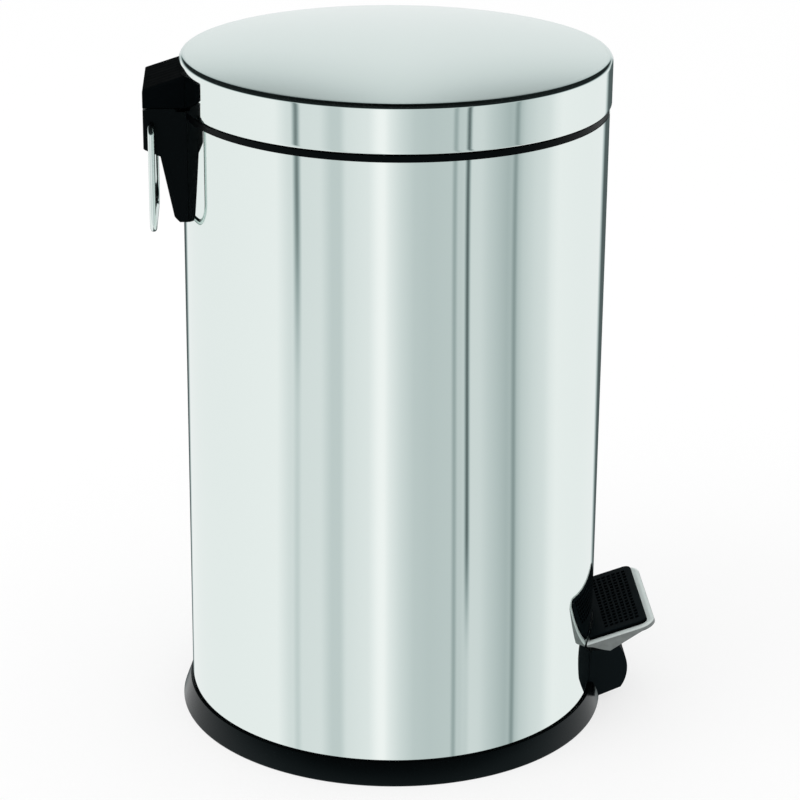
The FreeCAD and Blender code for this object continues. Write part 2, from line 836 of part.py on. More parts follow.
def inner_bucket():
    """Tapered moulded bucket that hangs by its flange on the collar's shelf."""
    body = new_body("inner_bucket")
    flange_low = shelf_top + d.fit_gap
    flange_high = flange_low + d.bucket_flange_thickness
    wall = d.bucket_wall
    section = sketch_on(body, "XZ_Plane", "section")
    outline(section, [
        (0, bucket_foot),
        (bucket_foot_radius - d.bucket_corner, bucket_foot),
        (bucket_foot_radius, bucket_foot + d.bucket_corner, d.bucket_corner),
        (bucket_top_radius, flange_low),
        (bucket_flange_radius, flange_low),
        (bucket_flange_radius, flange_high),
        (bucket_top_radius - wall, flange_high),
        (bucket_foot_radius - wall, bucket_foot + d.bucket_corner),
        (bucket_foot_radius - d.bucket_corner, bucket_foot + wall, wall - d.bucket_corner),
        (0, bucket_foot + wall),
    ])
    revolve(body, section, "moulding")


def lid_shell():
    """Pressed steel lid: a shallow dome, a round edge and an upright band with a folded hem."""
    body = new_body("lid_shell")
    flat = lid_radius - d.lid_edge_radius
    rise = d.lid_crown - d.lid_edge_radius
    dome = (flat * flat + d.lid_crown * d.lid_crown - d.lid_edge_radius * d.lid_edge_radius) / (rise * 2)
    centre = lid_shoulder + d.lid_crown - dome
    across = flat / (dome - d.lid_edge_radius)
    upright = (lid_shoulder - centre) / (dome - d.lid_edge_radius)
    inside = dome - d.lid_wall
    hem_inner = lid_radius - d.hem_wall
    section = sketch_on(body, "XZ_Plane", "section")
    outline(section, [
        (hem_inner, lid_bottom),
        (lid_radius, lid_bottom),
        (lid_radius, lid_shoulder),
        (dome * across, centre + dome * upright, d.lid_edge_radius),
        (0, lid_shoulder + d.lid_crown, dome),
        (0, lid_shoulder + d.lid_crown - d.lid_wall),
        (inside * across, centre + inside * upright, -inside),
        (lid_inner, lid_shoulder, d.lid_wall - d.lid_edge_radius),
        (lid_inner, lid_bottom + d.hem_height),
        (hem_inner, lid_bottom + d.hem_height),
    ])
    revolve(body, section, "pressing")
    radial_holes(body, "screw_hole", lid_screw_height, d.screw_angle, lid_radius * 2)


def lid_liner():
    """Moulded ring inside the lid, with a flange that faces the collar."""
    body = new_body("lid_liner")
    outer = liner_outer
    inner = outer - d.liner_wall
    section = sketch_on(body, "XZ_Plane", "section")
    outline(section, [
        (outer - d.liner_flange, liner_bottom),
        (outer, liner_bottom),
        (outer, liner_bottom + d.liner_height),
        (inner, liner_bottom + d.liner_height),
        (inner, liner_bottom + d.liner_wall),
        (outer - d.liner_flange, liner_bottom + d.liner_wall),
    ])
    revolve(body, section, "moulding")
    recess = sketch_on(body, "XY_Plane", "recess")
    outline(recess, box_outline(d.liner_recess_half, outer - d.liner_flange + d.liner_wall, lid_radius))
    pocket(body, recess, "hinge_recess", lid_shoulder * 3, symmetric=True)


def lid_bumpers():
    """Three rubber dots under the liner that the lid lands on."""
    for number, angle in enumerate((200, 270, 340), start=1):
        label = f"lid_bumper_{number}"
        bumper = doc.addObject("Part::Cylinder", label)
        bumper.Label = label
        bumper.setExpression("Radius", d.bumper_radius.formula)
        bumper.setExpression("Height", (liner_bottom - collar_top - d.fit_gap).formula)
        turn = as_size(angle)
        place(bumper, cosine(turn) * bumper_circle, sine(turn) * bumper_circle, collar_top + d.fit_gap)
        pieces.append(bumper)


def lid_hinge_block():
    """Moulded block on the lid's band, with the knuckle on the pin and the finger that the rod lifts."""
    body = new_body("lid_hinge_block")
    inside = shelf_inner_radius
    side = sketch_on(body, "YZ_Plane", "side")
    outline(side, [
        (inside, parting),
        (hinge_face, parting),
        (hinge_face, hinge_height + d.block_outer_rise),
        (lid_radius - d.lid_edge_radius, hinge_height + d.block_inner_rise),
        (inside, hinge_height + d.block_inner_rise),
    ])
    pad(body, side, "block", d.hinge_width, symmetric=True)
    half = d.hinge_width.value / 2

    def on_top_rim(first, last):
        high = min(first.z, last.z) > parting.value + EDGE_TOLERANCE
        beyond = max(first.y, last.y) > lid_radius.value
        along = abs(first.x - last.x) < EDGE_TOLERANCE and abs(abs(first.x) - half) < EDGE_TOLERANCE
        brow = min(first.y, last.y) > hinge_face.value - EDGE_TOLERANCE
        return high and beyond and (along or brow)

    round_edges(body, "top_rounding", d.block_rounding, on_top_rim)
    seat = sketch_on(body, "XY_Plane", "seat")
    ring(seat, 0, 0, lid_radius + d.fit_gap)
    pocket(body, seat, "lid_seat", lid_shoulder * 3, symmetric=True)
    web = sketch_on(body, "YZ_Plane", "web")
    outline(web, [
        (hinge_reach - d.hinge_back, hinge_height),
        (hinge_face, hinge_height),
        (hinge_face, parting + d.block_rounding),
        (hinge_reach - d.hinge_back * 2, parting + d.block_rounding),
    ])
    pad(body, web, "web_pad", d.knuckle_width, symmetric=True)
    knuckle = sketch_on(body, "YZ_Plane", "knuckle")
    ring(knuckle, hinge_reach, hinge_height, d.hinge_back)
    pad(body, knuckle, "knuckle_pad", d.knuckle_width, symmetric=True)
    finger = sketch_on(body, "YZ_Plane", "finger")
    low = d.rod_radius + d.rod_touch_gap
    high = low + d.finger_thickness
    length = (hinge_reach - rod_reach) / finger_cos + d.finger_overhang

    def along(run, above):
        return (
            hinge_reach - run * finger_cos - above * finger_sin,
            hinge_height - run * finger_sin + above * finger_cos,
        )

    start = as_size(0.0)
    outline(finger, [
        along(start, low),
        along(length, low),
        along(length, high),
        along(start, high),
    ])
    pad(body, finger, "finger_pad", d.knuckle_width, symmetric=True)
    bore = sketch_on(body, "YZ_Plane", "bore")
    ring(bore, hinge_reach, hinge_height, pin_hole)
    pocket(body, bore, "pin_bore", d.hinge_width, symmetric=True)
    radial_holes(body, "screw_hole", lid_screw_height, d.screw_angle, lid_radius + d.screw_depth)


def lift_rod():
    """Round-ended push rod that stands on the lever's tail and lifts the lid's finger."""
    body = new_body("lift_rod")
    tail = root(lever_tail_span * lever_tail_span + lever_tail_drop * lever_tail_drop) / lever_tail_span
    low = d.pivot_height - lever_tail_drop + d.lever_thickness / 2 + (d.rod_radius + d.rod_touch_gap) * tail
    high = hinge_height - (hinge_reach - rod_reach) * finger_sin / finger_cos
    section = sketch_on(body, "XZ_Plane", "section")
    outline(section, [
        (0, low - d.rod_radius),
        (d.rod_radius, low, d.rod_radius),
        (d.rod_radius, high),
        (0, high + d.rod_radius, d.rod_radius),
    ])
    revolve(body, section, "turning")
    place(body, 0, rod_reach, 0)


def carry_handle():
    """Wire bail whose bent ends turn in the bracket's cheeks, on the hinge's axis."""
    body = new_body("carry_handle")
    inner = d.pin_length / 2 + d.handle_end_gap
    bend = d.handle_bend
    corner = d.handle_corner
    half = d.hinge_width / 2 + d.handle_stand
    foot = hinge_height - d.handle_drop
    path = sketch_on(body, "XZ_Plane", "path", lift=-hinge_reach)
    outline(path, [
        (-inner, hinge_height),
        (bend - half, hinge_height),
        (-half, hinge_height - bend, bend),
        (-half, foot + corner),
        (corner - half, foot, corner),
        (half - corner, foot),
        (half, foot + corner, corner),
        (half, hinge_height - bend),
        (half - bend, hinge_height, bend),
        (inner, hinge_height),
    ], closed=False)
    section = sketch_on(body, "YZ_Plane", "section", lift=-inner)
    ring(section, hinge_reach, hinge_height, d.pin_radius)
    doc.recompute()
    wire = feature(body, "AdditivePipe", section, "wire")
    wire.Spine = path
    path.Visibility = False
    doc.recompute()


def pedal_lever():
    """Bent steel strip from the pedal through the body slot, over its pin, to the push rod."""
    body = new_body("pedal_lever")
    half = d.lever_thickness / 2
    slope = pedal_sin / pedal_cos
    tail_run = lever_tail_span + d.lever_tail_end
    tail = (rod_reach + d.lever_tail_end, d.pivot_height - lever_tail_drop * tail_run / lever_tail_span)
    bend = (d.lever_bend_inset - d.body_radius, d.pedal_height - d.lever_bend_inset * slope - half)
    tip_run = pedal_tongue * pedal_cos
    tip = (-d.body_radius - tip_run, d.pedal_height + tip_run * slope - half)
    pivot = (-d.pivot_reach, d.pivot_height)
    line = [tail, pivot, bend, tip]
    strip = sketch_on(body, "YZ_Plane", "strip")
    outline(strip, [(y, z - half) for y, z in line] + [(y, z + half) for y, z in reversed(line)])
    pad(body, strip, "bar", d.lever_width, symmetric=True)
    hub = sketch_on(body, "YZ_Plane", "hub")
    ring(hub, *pivot, d.lever_hub_radius)
    pad(body, hub, "hub_pad", d.lever_width, symmetric=True)
    bore = sketch_on(body, "YZ_Plane", "bore")
    ring(bore, *pivot, lever_pin_hole)
    pocket(body, bore, "pin_bore", d.lever_width * 2, symmetric=True)
    holes = sketch_on(body, "XY_Plane", "rivet_holes", pedal_place)
    for run in pedal_rivet_spots:
        ring(holes, 0, run, d.rivet_radius + d.running_gap)
    pocket(body, holes, "rivet_clearance", d.lever_thickness * 4, symmetric=True)


def back_radius(rise):
    """Radius of the hollow back of a leaning piece whose upper face lies this far above the tread."""
    return d.body_radius + d.pedal_body_gap + rise * pedal_sin


def tread_plan(margin, clear, outer, corner):
    """Plan of the pedal, drawn in from its sides: a hollow back along the body and round outer corners."""
    half = d.pedal_half - margin
    middle = (clear - d.body_radius) / pedal_cos
    flank = (root(clear * clear - half * half) - d.body_radius) / pedal_cos
    hollow = middle - flank
    bend = (half * half + hollow * hollow) / (hollow * 2)
    return [
        (-half, flank),
        (half, flank, -bend),
        (half, outer - corner),
        (half - corner, outer, corner),
        (corner - half, outer),
        (-half, outer - corner, corner),
    ]


def pedal_plate():
    """Pressed steel tread with a turned-down rim and deep side flanges."""
    body = new_body("pedal_plate")
    rim = d.pedal_skirt - d.pedal_sheet
    plan = sketch_on(body, "XY_Plane", "plan", lift=-rim)
    clear = back_radius(d.pedal_sheet)
    outline(plan, tread_plan(as_size(0.0), clear, d.pedal_length, d.pedal_corner))
    pad(body, plan, "tread", d.pedal_skirt)
    corner_start = d.pedal_length.value - d.pedal_corner.value

    def on_rim(first, last):
        high = min(first.z, last.z) > d.pedal_sheet.value - EDGE_TOLERANCE
        return high and max(first.y, last.y) > corner_start - EDGE_TOLERANCE

    round_edges(body, "rim_bend", d.pedal_bend, on_rim)
    under = sketch_on(body, "XY_Plane", "under", lift=-rim)
    inner_half = d.pedal_half - d.pedal_sheet
    inner_corner = d.pedal_corner - d.pedal_sheet
    inner_end = d.pedal_length - d.pedal_sheet
    outline(under, [
        (-inner_half, -d.pedal_length),
        (inner_half, -d.pedal_length),
        (inner_half, inner_end - inner_corner),
        (inner_half - inner_corner, inner_end, inner_corner),
        (inner_corner - inner_half, inner_end),
        (-inner_half, inner_end - inner_corner, inner_corner),
    ])
    pocket(body, under, "hollow", rim, reverse=True)
    heel = (root(clear * clear - d.pedal_half * d.pedal_half) - d.body_radius) / pedal_cos
    for name, lift in (("near", d.pedal_half - d.pedal_sheet), ("far", -d.pedal_half)):
        flange = sketch_on(body, "YZ_Plane", f"{name}_flange", lift=lift)
        outline(flange, [
            (heel + d.pedal_sheet, 0),
            (d.flange_heel, d.pedal_sheet - d.flange_depth),
            (d.pedal_length - d.pedal_corner, -rim),
            (d.pedal_length - d.pedal_corner, 0),
        ])
        pad(body, flange, f"{name}_flange_pad", d.pedal_sheet)
    holes = sketch_on(body, "XY_Plane", "rivet_holes")
    for run in pedal_rivet_spots:
        ring(holes, 0, run, d.rivet_radius + d.running_gap)
    pocket(body, holes, "rivet_clearance", d.pedal_sheet * 4, symmetric=True)
    place_pedal(body, as_size(0.0))


def pedal_pad():
    """Rubber tread pad on the pedal plate."""
    body = new_body("pedal_pad")
    plan = sketch_on(body, "XY_Plane", "plan")
    pad_end = d.pedal_length - d.pad_outer_margin
    clear = back_radius(d.pedal_sheet + d.pad_thickness)
    outline(plan, tread_plan(d.pad_margin, clear, pad_end, d.pad_corner))
    pad(body, plan, "sheet", d.pad_thickness)
    place_pedal(body, d.pedal_sheet)


def place_pedal(piece, rise):
    """Set a piece on the sloping pedal plane, lifted square to it."""
    y = rise * pedal_sin - d.body_radius
    z = rise * pedal_cos + d.pedal_height
    place(piece, 0, y, z, pedal_turn)


def pedal_rivets():
    """Two rivets through the tread and the lever's tongue, flush under the pad."""
    for number, run in enumerate(pedal_rivet_spots, start=1):
        y = -d.body_radius - run * pedal_cos
        z = d.pedal_height + run * pedal_sin
        below = d.lever_thickness * pedal_cos
        rivet(f"pedal_rivet_{number}", d.pedal_sheet, below, 0, y, z, pedal_turn, upper_head=False)


# Fixed pieces
body_shell()
top_collar()
base_ring()
base_plate()
base_screws()
pedal_guard()
radial_screws("guard_screw", body_inner, guard_screw_height, d.guard_screw_angle, front=True)
hinge_bracket()
radial_screws("bracket_screw", body_inner, bracket_screw_height, d.screw_angle)
cross_pin("hinge_pin", d.pin_radius, d.pin_length, hinge_reach, hinge_height)
lever_bracket()
bracket_rivets()
lever_pin_length = d.lever_width + (d.moving_gap + d.ear_thickness + d.lever_pin_overhang) * 2
cross_pin("lever_pin", d.lever_pin_radius, lever_pin_length, -d.pivot_reach, d.pivot_height)
rod_guides()

# Moving pieces
inner_bucket()
lid_shell()
lid_liner()
lid_bumpers()
lid_hinge_block()
radial_screws("lid_screw", lid_inner, lid_screw_height, d.screw_angle)
lift_rod()
carry_handle()
pedal_lever()
pedal_plate()
pedal_pad()
pedal_rivets()

# Check every object, then write each piece to its own file
doc.recompute()
failed = [item.Name for item in doc.Objects if {"Invalid", "Error"} & set(item.State)]
failed += [item.Label for item in pieces if item.Shape.isNull() or not item.Shape.isValid()]
if failed:
    raise RuntimeError(f"failed: {failed}")
os.makedirs("parts", exist_ok=True)
for piece in pieces:
    piece.Shape.exportStep(f"parts/{piece.Label}.step")
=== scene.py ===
"""Looks of a round steel pedal bin: smooth surfaces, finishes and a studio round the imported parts."""
import json
import math

import bmesh
import bpy
import numpy as np
from mathutils import Matrix, Vector


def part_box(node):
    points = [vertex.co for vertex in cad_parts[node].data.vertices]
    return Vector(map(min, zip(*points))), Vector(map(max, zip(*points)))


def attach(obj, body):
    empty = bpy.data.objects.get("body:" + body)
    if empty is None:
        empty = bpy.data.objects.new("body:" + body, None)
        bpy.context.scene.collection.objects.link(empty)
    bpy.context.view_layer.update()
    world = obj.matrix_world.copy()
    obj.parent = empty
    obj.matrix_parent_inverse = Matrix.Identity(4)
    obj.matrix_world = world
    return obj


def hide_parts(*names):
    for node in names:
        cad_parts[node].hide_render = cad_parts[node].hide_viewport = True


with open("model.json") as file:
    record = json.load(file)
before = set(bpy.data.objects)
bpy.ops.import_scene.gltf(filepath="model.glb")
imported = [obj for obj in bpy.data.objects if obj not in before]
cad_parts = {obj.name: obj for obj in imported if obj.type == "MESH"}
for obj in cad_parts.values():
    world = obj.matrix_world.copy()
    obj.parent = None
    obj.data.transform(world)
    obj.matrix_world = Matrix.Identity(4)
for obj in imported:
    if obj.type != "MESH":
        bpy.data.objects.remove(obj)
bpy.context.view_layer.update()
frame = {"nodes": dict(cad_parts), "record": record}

bl_info = {
    "name": "Pedal bin looks",
    "version": (1, 0, 0),
    "blender": (4, 5, 0),
    "location": "3D View > Sidebar > Pedal bin",
    "description": "Builds the surfaces, finishes and studio of a steel pedal bin round its packed parts",
    "category": "Object",
}

NODES = frame["nodes"]
BODY_LOW, BODY_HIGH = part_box("body_shell")
LID_LOW, LID_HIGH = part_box("lid_shell")
_, RING_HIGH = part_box("base_ring")
HANDLE_LOW, HANDLE_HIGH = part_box("carry_handle")

# Angle between two faces from which their edge shows
CREASE = math.radians(32)
# Distance under which two points are one, and slack in comparing lengths
DOUBLED, SLACK = 1e-7, 1e-6
# Faces round a turned piece
ROUND = 320
# Carrying wire: length of its straight foot beside a corner, and distance of path points from a bend
WIRE_LEAD, WIRE_STEP = 0.004, 0.001
# Tread: straight drop below the rim's bend, rounding of its back edge and inset of its underside's inner row
RIM_DROP, BACK_ROUND, UNDER_INSET = 0.0002, 0.0003, 0.006
# Insets of the rows that hold the tread's upper face flat, in radii of its bend
RIM_SUPPORT = (2.5, 1.2)
# Depths below the tread's upper face between which its colour passes into the flanges' painted shade
FLANGE_SHADE_START, FLANGE_SHADE_STOP = 0.0010, 0.0017
# Share of the pad's bare margin that is filled with extra grid lines
MARGIN_SHARE = 0.9


def length(name, description, default):
    """A size in metres that a user can change."""
    return bpy.props.FloatProperty(
        name=name, description=description, default=default, unit="LENGTH", precision=5
    )


def share(name, description, default):
    """A share from nought to one that a user can change."""
    return bpy.props.FloatProperty(
        name=name, description=description, default=default, min=0.0, max=1.0, subtype="FACTOR"
    )


def angle(name, description, degrees):
    """An angle that a user can change, shown in degrees."""
    return bpy.props.FloatProperty(
        name=name, description=description, default=math.radians(degrees), subtype="ANGLE"
    )


def colour(name, description, default):
    """A colour that a user can change."""
    return bpy.props.FloatVectorProperty(
        name=name, description=description, default=default, size=3, min=0.0, max=1.0, subtype="COLOR"
    )


class PEDALBIN_PG_body(bpy.types.PropertyGroup):
    """Sizes of the steel body, the lid, the floor ring and the carrying wire."""

    body_wall: length("Body wall", "Thickness of the rolled steel body", 0.0006)
    slot_half: length("Slot half width", "Half the width of the pedal slot", 0.012)
    slot_low: length("Slot foot", "Height of the pedal slot's lower edge", 0.0311)
    slot_high: length("Slot top", "Height of the pedal slot's upper edge", 0.0531)
    notch_half: length("Notch half width", "Half the width of the finger notch at the back", 0.0075)
    notch_low: length("Notch foot", "Height of the finger notch's lower edge", 0.361)
    lid_wall: length("Lid wall", "Thickness of the pressed lid", 0.0007)
    lid_edge: length("Lid edge", "Radius of the edge between the dome and the band", 0.003)
    lid_crown: length("Lid crown", "Rise of the dome above the band", 0.013)
    hem_wall: length("Hem wall", "Thickness of the folded hem under the band", 0.0015)
    hem_height: length("Hem height", "Height of the folded hem under the band", 0.004)
    hem_round: length("Hem rounding", "Rounding of the hem's outer lower edge", 0.0011)
    ring_lap: length("Ring lap", "How far the floor ring's top edge stands out from the body", 0.0016)
    ring_round: length("Ring rounding", "Rounding of the floor ring's outer edges", 0.0008)
    ring_gap: length("Ring gap", "Gap between the floor ring's slot and the steel body", 0.0001)
    ring_web: length("Ring web", "Thickness of the floor ring's flat web", 0.003)
    ring_band: length("Ring band", "Reach of the floor ring's web inwards from the body", 0.021)
    ring_lip_height: length("Ring lip", "Height of the floor ring's lip inside the body", 0.008)
    ring_lip_wall: length("Ring lip wall", "Thickness of the floor ring's lip", 0.0032)
    wire_bend: length("Wire bend", "Radius of the carrying wire's bends at the hinge", 0.005)
    wire_corner: length("Wire corner", "Radius of the carrying wire's lower corners", 0.014)
    wire_stub: length("Wire end", "Distance of the carrying wire's ends from the middle", 0.0223)


class PEDALBIN_PG_pedal(bpy.types.PropertyGroup):
    """Sizes of the tread plate and its pad."""

    tilt: angle("Tilt", "Slope of the tread, rising outwards", 18.7)
    height: length("Height", "Height of the tread's underside at the body", 0.0502)
    half: length("Half width", "Half the tread's width", 0.044)
    run: length("Length", "Reach of the tread from the body, along its slope", 0.037)
    corner: length("Corner", "Radius of the tread's outer corners", 0.0095)
    sheet: length("Sheet", "Thickness of the tread's steel", 0.0015)
    bend: length("Bend", "Outer radius of the turned-down rim", 0.0021)
    skirt: length("Rim depth", "Depth of the turned-down rim", 0.0034)
    flange: length("Flange depth", "Depth of the side flanges at their heel", 0.0096)
    flange_heel: length("Flange heel", "Reach of the flange's deepest point", 0.0046)
    body_gap: length("Body gap", "Gap between the body and the upper back edge of tread and pad", 0.0002)
    pad_margin: length("Pad margin", "Steel left bare beside the pad", 0.0026)
    pad_outer: length("Pad outer margin", "Steel left bare beyond the pad", 0.0043)
    pad_thickness: length("Pad thickness", "Thickness of the rubber pad", 0.0022)
    pad_corner: length("Pad corner", "Radius of the pad's outer corners", 0.005)
    pad_round: length("Pad rounding", "Rounding of the pad's upper edge", 0.0008)
    pit_depth: length("Pit depth", "Depth of the pad's square pits", 0.0009)
    pit_slope: length("Pit slope", "Width of a pit's sloping sides", 0.0003)
    pit_pitch: length("Pit pitch", "Distance between pits across the pad", 0.0042)
    pit_half: length("Pit half length", "Half a pit's length across the pad", 0.0015)
    row_pitch: length("Row pitch", "Distance between rows of pits along the slope", 0.0033)
    row_half: length("Row half width", "Half a pit's width along the slope", 0.0012)
    row_last: length("Last row", "Distance of the outermost row from the pad's outer edge", 0.0055)
    pits: bpy.props.IntProperty(name="Pits", description="Pits in one row", default=17)
    rows: bpy.props.IntProperty(name="Rows", description="Rows of pits", default=7)


class PEDALBIN_PG_finish(bpy.types.PropertyGroup):
    """Colours and polish."""

    steel: colour("Steel", "Colour of the polished steel", (0.775, 0.842, 0.820))
    steel_polish: share("Steel roughness", "Roughness of the mirror polish", 0.025)
    # Painted shade on the tread's flanges, as a share of the brightness of its upper face
    flange_shade: share("Flange shade", "Brightness of the tread's dull flanges against its upper face", 0.26)
    dome_polish: share("Dome roughness", "Roughness of the lid's satin dome", 0.15)
    dome_metal: share("Dome gloss", "Share of the dome's light that it mirrors", 0.75)
    tread_polish: share("Tread roughness", "Roughness of the tread", 0.3)
    tread_metal: share("Tread gloss", "Share of the tread's light that it mirrors", 0.25)
    wire_polish: share("Wire roughness", "Roughness of the carrying wire", 0.05)
    plated: colour("Plated steel", "Colour of the plated inner steel", (0.60, 0.61, 0.62))
    plastic: colour("Black plastic", "Colour of the moulded black plastic", (0.0007, 0.0011, 0.0013))
    rubber: colour("Black rubber", "Colour of the pedal pad", (0.0045, 0.0078, 0.0095))
    sheen: colour("Sheen", "Tint of the light that black plastic and rubber throw back", (0.72, 0.94, 1.0))
    sheen_level: share("Sheen level", "Strength of the light that black plastic and rubber throw back", 0.05)
    bucket: colour("Bucket", "Colour of the inner bucket", (0.10, 0.105, 0.11))


class PEDALBIN_PG_stage(bpy.types.PropertyGroup):
    """Camera and light."""

    distance: length("Distance", "Level distance of the camera from the bin's axis", 1.5497)
    height: length("Height", "Height of the camera above the floor", 0.7759)
    side: angle("Side", "Turn of the camera round the bin, from the hinge's left side", -93.16)
    down: angle("Down", "Tilt of the camera below the level", 20.571)
    yaw: angle("Yaw", "Turn of the camera off the bin's axis", -0.142)
    roll: angle("Roll", "Roll of the picture", 0.489)
    lens: length("Lens", "Focal length on a 36 mm sensor", 0.12232)
    floor: length("Floor", "Radius of the pale floor", 8.0)
    floor_tint: share("Floor tint", "Brightness of the floor's own colour", 0.95)
    ambient: share("Ambient", "Strength of the even light from all round", 1.0)
    lamp_size: length("Lamp size", "Width of the soft lamp", 1.6)
    lamp_power: bpy.props.FloatProperty(
        name="Lamp power", description="Power of the soft lamp", default=14.0, unit="POWER"
    )
    lamp_place: bpy.props.FloatVectorProperty(
        name="Lamp place", description="Place of the lamp", default=(-0.9, 1.6, 2.6), subtype="TRANSLATION"
    )
    lamp_aim: length("Lamp aim", "Height on the bin's axis that the soft lamp points at", 0.2)


def arc(centre_x, centre_y, radius, start, stop, count):
    """Points on an arc: centre + radius (cos t, sin t), t running evenly from start to stop in degrees."""
    t = np.radians(np.linspace(start, stop, count))
    return np.stack([centre_x + radius * np.cos(t), centre_y + radius * np.sin(t)], axis=-1)


def line(*points):
    """Corner points of a straight-sided stretch."""
    return np.array(points, dtype=float)


def grid_quads(rows, columns, wrap_rows=False, wrap_columns=False, first=0):
    """Four point numbers for each cell of a grid, closed on itself where asked."""
    row = np.arange(rows if wrap_rows else rows - 1)
    column = np.arange(columns if wrap_columns else columns - 1)
    row, column = np.meshgrid(row, column, indexing="ij")
    below = (row + 1) % rows
    beside = (column + 1) % columns
    corners = [(row, column), (row, beside), (below, beside), (below, column)]
    return first + np.stack([down * columns + over for down, over in corners], axis=-1).reshape(-1, 4)


def mesh_of(name, points, *faces):
    """Mesh of points and arrays of faces, with doubled points merged and every face turned outwards."""
    points = np.asarray(points, dtype=float).reshape(-1, 3)
    corners = np.concatenate([group.ravel() for group in faces])
    sides = np.concatenate([np.full(len(group), group.shape[1]) for group in faces])
    mesh = bpy.data.meshes.new(name)
    mesh.vertices.add(len(points))
    mesh.vertices.foreach_set("co", points.ravel())
    mesh.loops.add(len(corners))
    mesh.loops.foreach_set("vertex_index", corners.astype(np.int32))
    mesh.polygons.add(len(sides))
    mesh.polygons.foreach_set("loop_start", np.concatenate([[0], np.cumsum(sides)[:-1]]).astype(np.int32))
    mesh.update(calc_edges=True)
    shell = bmesh.new()
    shell.from_mesh(mesh)
    bmesh.ops.remove_doubles(shell, verts=shell.verts, dist=DOUBLED)
    bmesh.ops.recalc_face_normals(shell, faces=shell.faces)
    shell.to_mesh(mesh)
    shell.free()
    mesh.shade_smooth()
    mesh.set_sharp_from_angle(angle=CREASE)
    return mesh


def add_piece(name, mesh, body, finish, node):
    """Put a mesh into the scene as a piece that rides a body and stands for a CAD node."""
    piece = bpy.data.objects.new(name, mesh)
    bpy.context.scene.collection.objects.link(piece)
    mesh.materials.append(finish)
    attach(piece, body)
    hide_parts(node)


def turned(name, profile):
    """Closed profile (r, z) turned round the upright axis: P(a, k) = (r_k cos a, r_k sin a, z_k)."""
    a = np.radians(np.linspace(0.0, 360.0, ROUND, endpoint=False))[:, None]
    r, z = profile[:, 0], profile[:, 1]
    points = np.stack([r * np.cos(a), r * np.sin(a), np.broadcast_to(z, (ROUND, len(z)))], axis=-1)
    return mesh_of(name, points, grid_quads(ROUND, len(profile), wrap_rows=True, wrap_columns=True))


def windowed_tube(name, outer, inner, low, high, windows, columns=288, rows=16):
    """Upright tube with windows: both walls share one grid of angle and height, with rims between them.

    P(a, z) = (R cos a, R sin a, z) for the outer and the inner radius; a window is a middle angle, a half
    angle and two heights.
    """
    edges = [middle + way * half for middle, half, _, _ in windows for way in (-1, 1)]
    a = np.unique(np.concatenate([np.linspace(-math.pi, math.pi, columns, endpoint=False), edges]))
    heights = [height for _, _, foot, top in windows for height in (foot, top) if low < height < high]
    z = np.unique(np.concatenate([np.linspace(low, high, rows), heights]))
    na, nz = len(a), len(z)
    gap = np.diff(a, append=a[0] + math.tau)
    cell_a = (a + gap / 2)[:, None]
    cell_z = ((z[1:] + z[:-1]) / 2)[None, :]
    keep = np.ones((na, nz - 1), dtype=bool)
    for middle, half, foot, top in windows:
        keep &= ~((np.abs(cell_a - middle) < half) & (cell_z > foot) & (cell_z < top))
    x, y = np.cos(a)[:, None], np.sin(a)[:, None]
    walls = [np.stack(np.broadcast_arrays(r * x, r * y, z[None, :]), axis=-1) for r in (outer, inner)]
    cells = grid_quads(na, nz, wrap_rows=True)[keep.ravel()]
    number = np.arange(na * nz).reshape(na, nz)
    after = np.roll(number, -1, axis=0)
    sides = keep != np.roll(keep, 1, axis=0)
    padded = np.pad(keep, ((0, 0), (1, 1)))
    levels = padded[:, 1:] != padded[:, :-1]
    upright = np.stack([number[:, :-1][sides], number[:, 1:][sides]], axis=-1)
    level = np.stack([number[levels], after[levels]], axis=-1)
    rims = np.concatenate([upright, level])
    rims = np.concatenate([rims, rims[:, ::-1] + na * nz], axis=1)
    points = np.concatenate([wall.reshape(-1, 3) for wall in walls])
    return mesh_of(name, points, cells, cells + na * nz, rims)


def tube(name, path, radius, sides=24):
    """Round wire along a path in an upright plane of constant y.

    P(s, t) = path(s) + radius (cos t N(s) + sin t Y), with N the path's normal in its plane.
    """
    ahead = np.gradient(path, axis=0)
    ahead /= np.linalg.norm(ahead, axis=1, keepdims=True)
    normal = np.stack([-ahead[:, 2], np.zeros(len(path)), ahead[:, 0]], axis=-1)
    t = np.linspace(0.0, math.tau, sides, endpoint=False)
    rim = np.cos(t)[None, :, None] * normal[:, None, :] + np.sin(t)[None, :, None] * np.array([0.0, 1.0, 0.0])
    points = path[:, None, :] + radius * rim
    ends = np.arange(sides)[None, :]
    quads = grid_quads(len(path), sides, wrap_columns=True)
    return mesh_of(name, points, quads, ends, ends + (len(path) - 1) * sides)


def outward(loop):
    """Unit normals of a closed plan loop that runs counter-clockwise, square to the loop."""
    ahead = np.roll(loop, -1, axis=0) - np.roll(loop, 1, axis=0)
    ahead /= np.linalg.norm(ahead, axis=1, keepdims=True)
    return np.stack([ahead[:, 1], -ahead[:, 0]], axis=-1)


def on_pedal(points):
    """Pedal coordinates (across, along the slope, above its underside) turned to the bin's frame."""
    pedal = bpy.context.scene.bin_pedal
    across, along, above = points[..., 0], points[..., 1], points[..., 2]
    sine, cosine = math.sin(pedal.tilt), math.cos(pedal.tilt)
    y = -BODY_HIGH.x - along * cosine + above * sine
    z = pedal.height + along * sine + above * cosine
    return np.stack([across, y, z], axis=-1)


def back_radius(rise):
    """Radius of the hollow back of a piece whose upper face lies this far above the tread's plane."""
    pedal = bpy.context.scene.bin_pedal
    return BODY_HIGH.x + pedal.body_gap + rise * math.sin(pedal.tilt)


def back_edge(x, clear):
    """Hollow back that follows a cylinder, seen along the slope: v(x) = (sqrt(clear^2 - x^2) - R) / cos."""
    pedal = bpy.context.scene.bin_pedal
    return (np.sqrt(clear ** 2 - x ** 2) - BODY_HIGH.x) / math.cos(pedal.tilt)


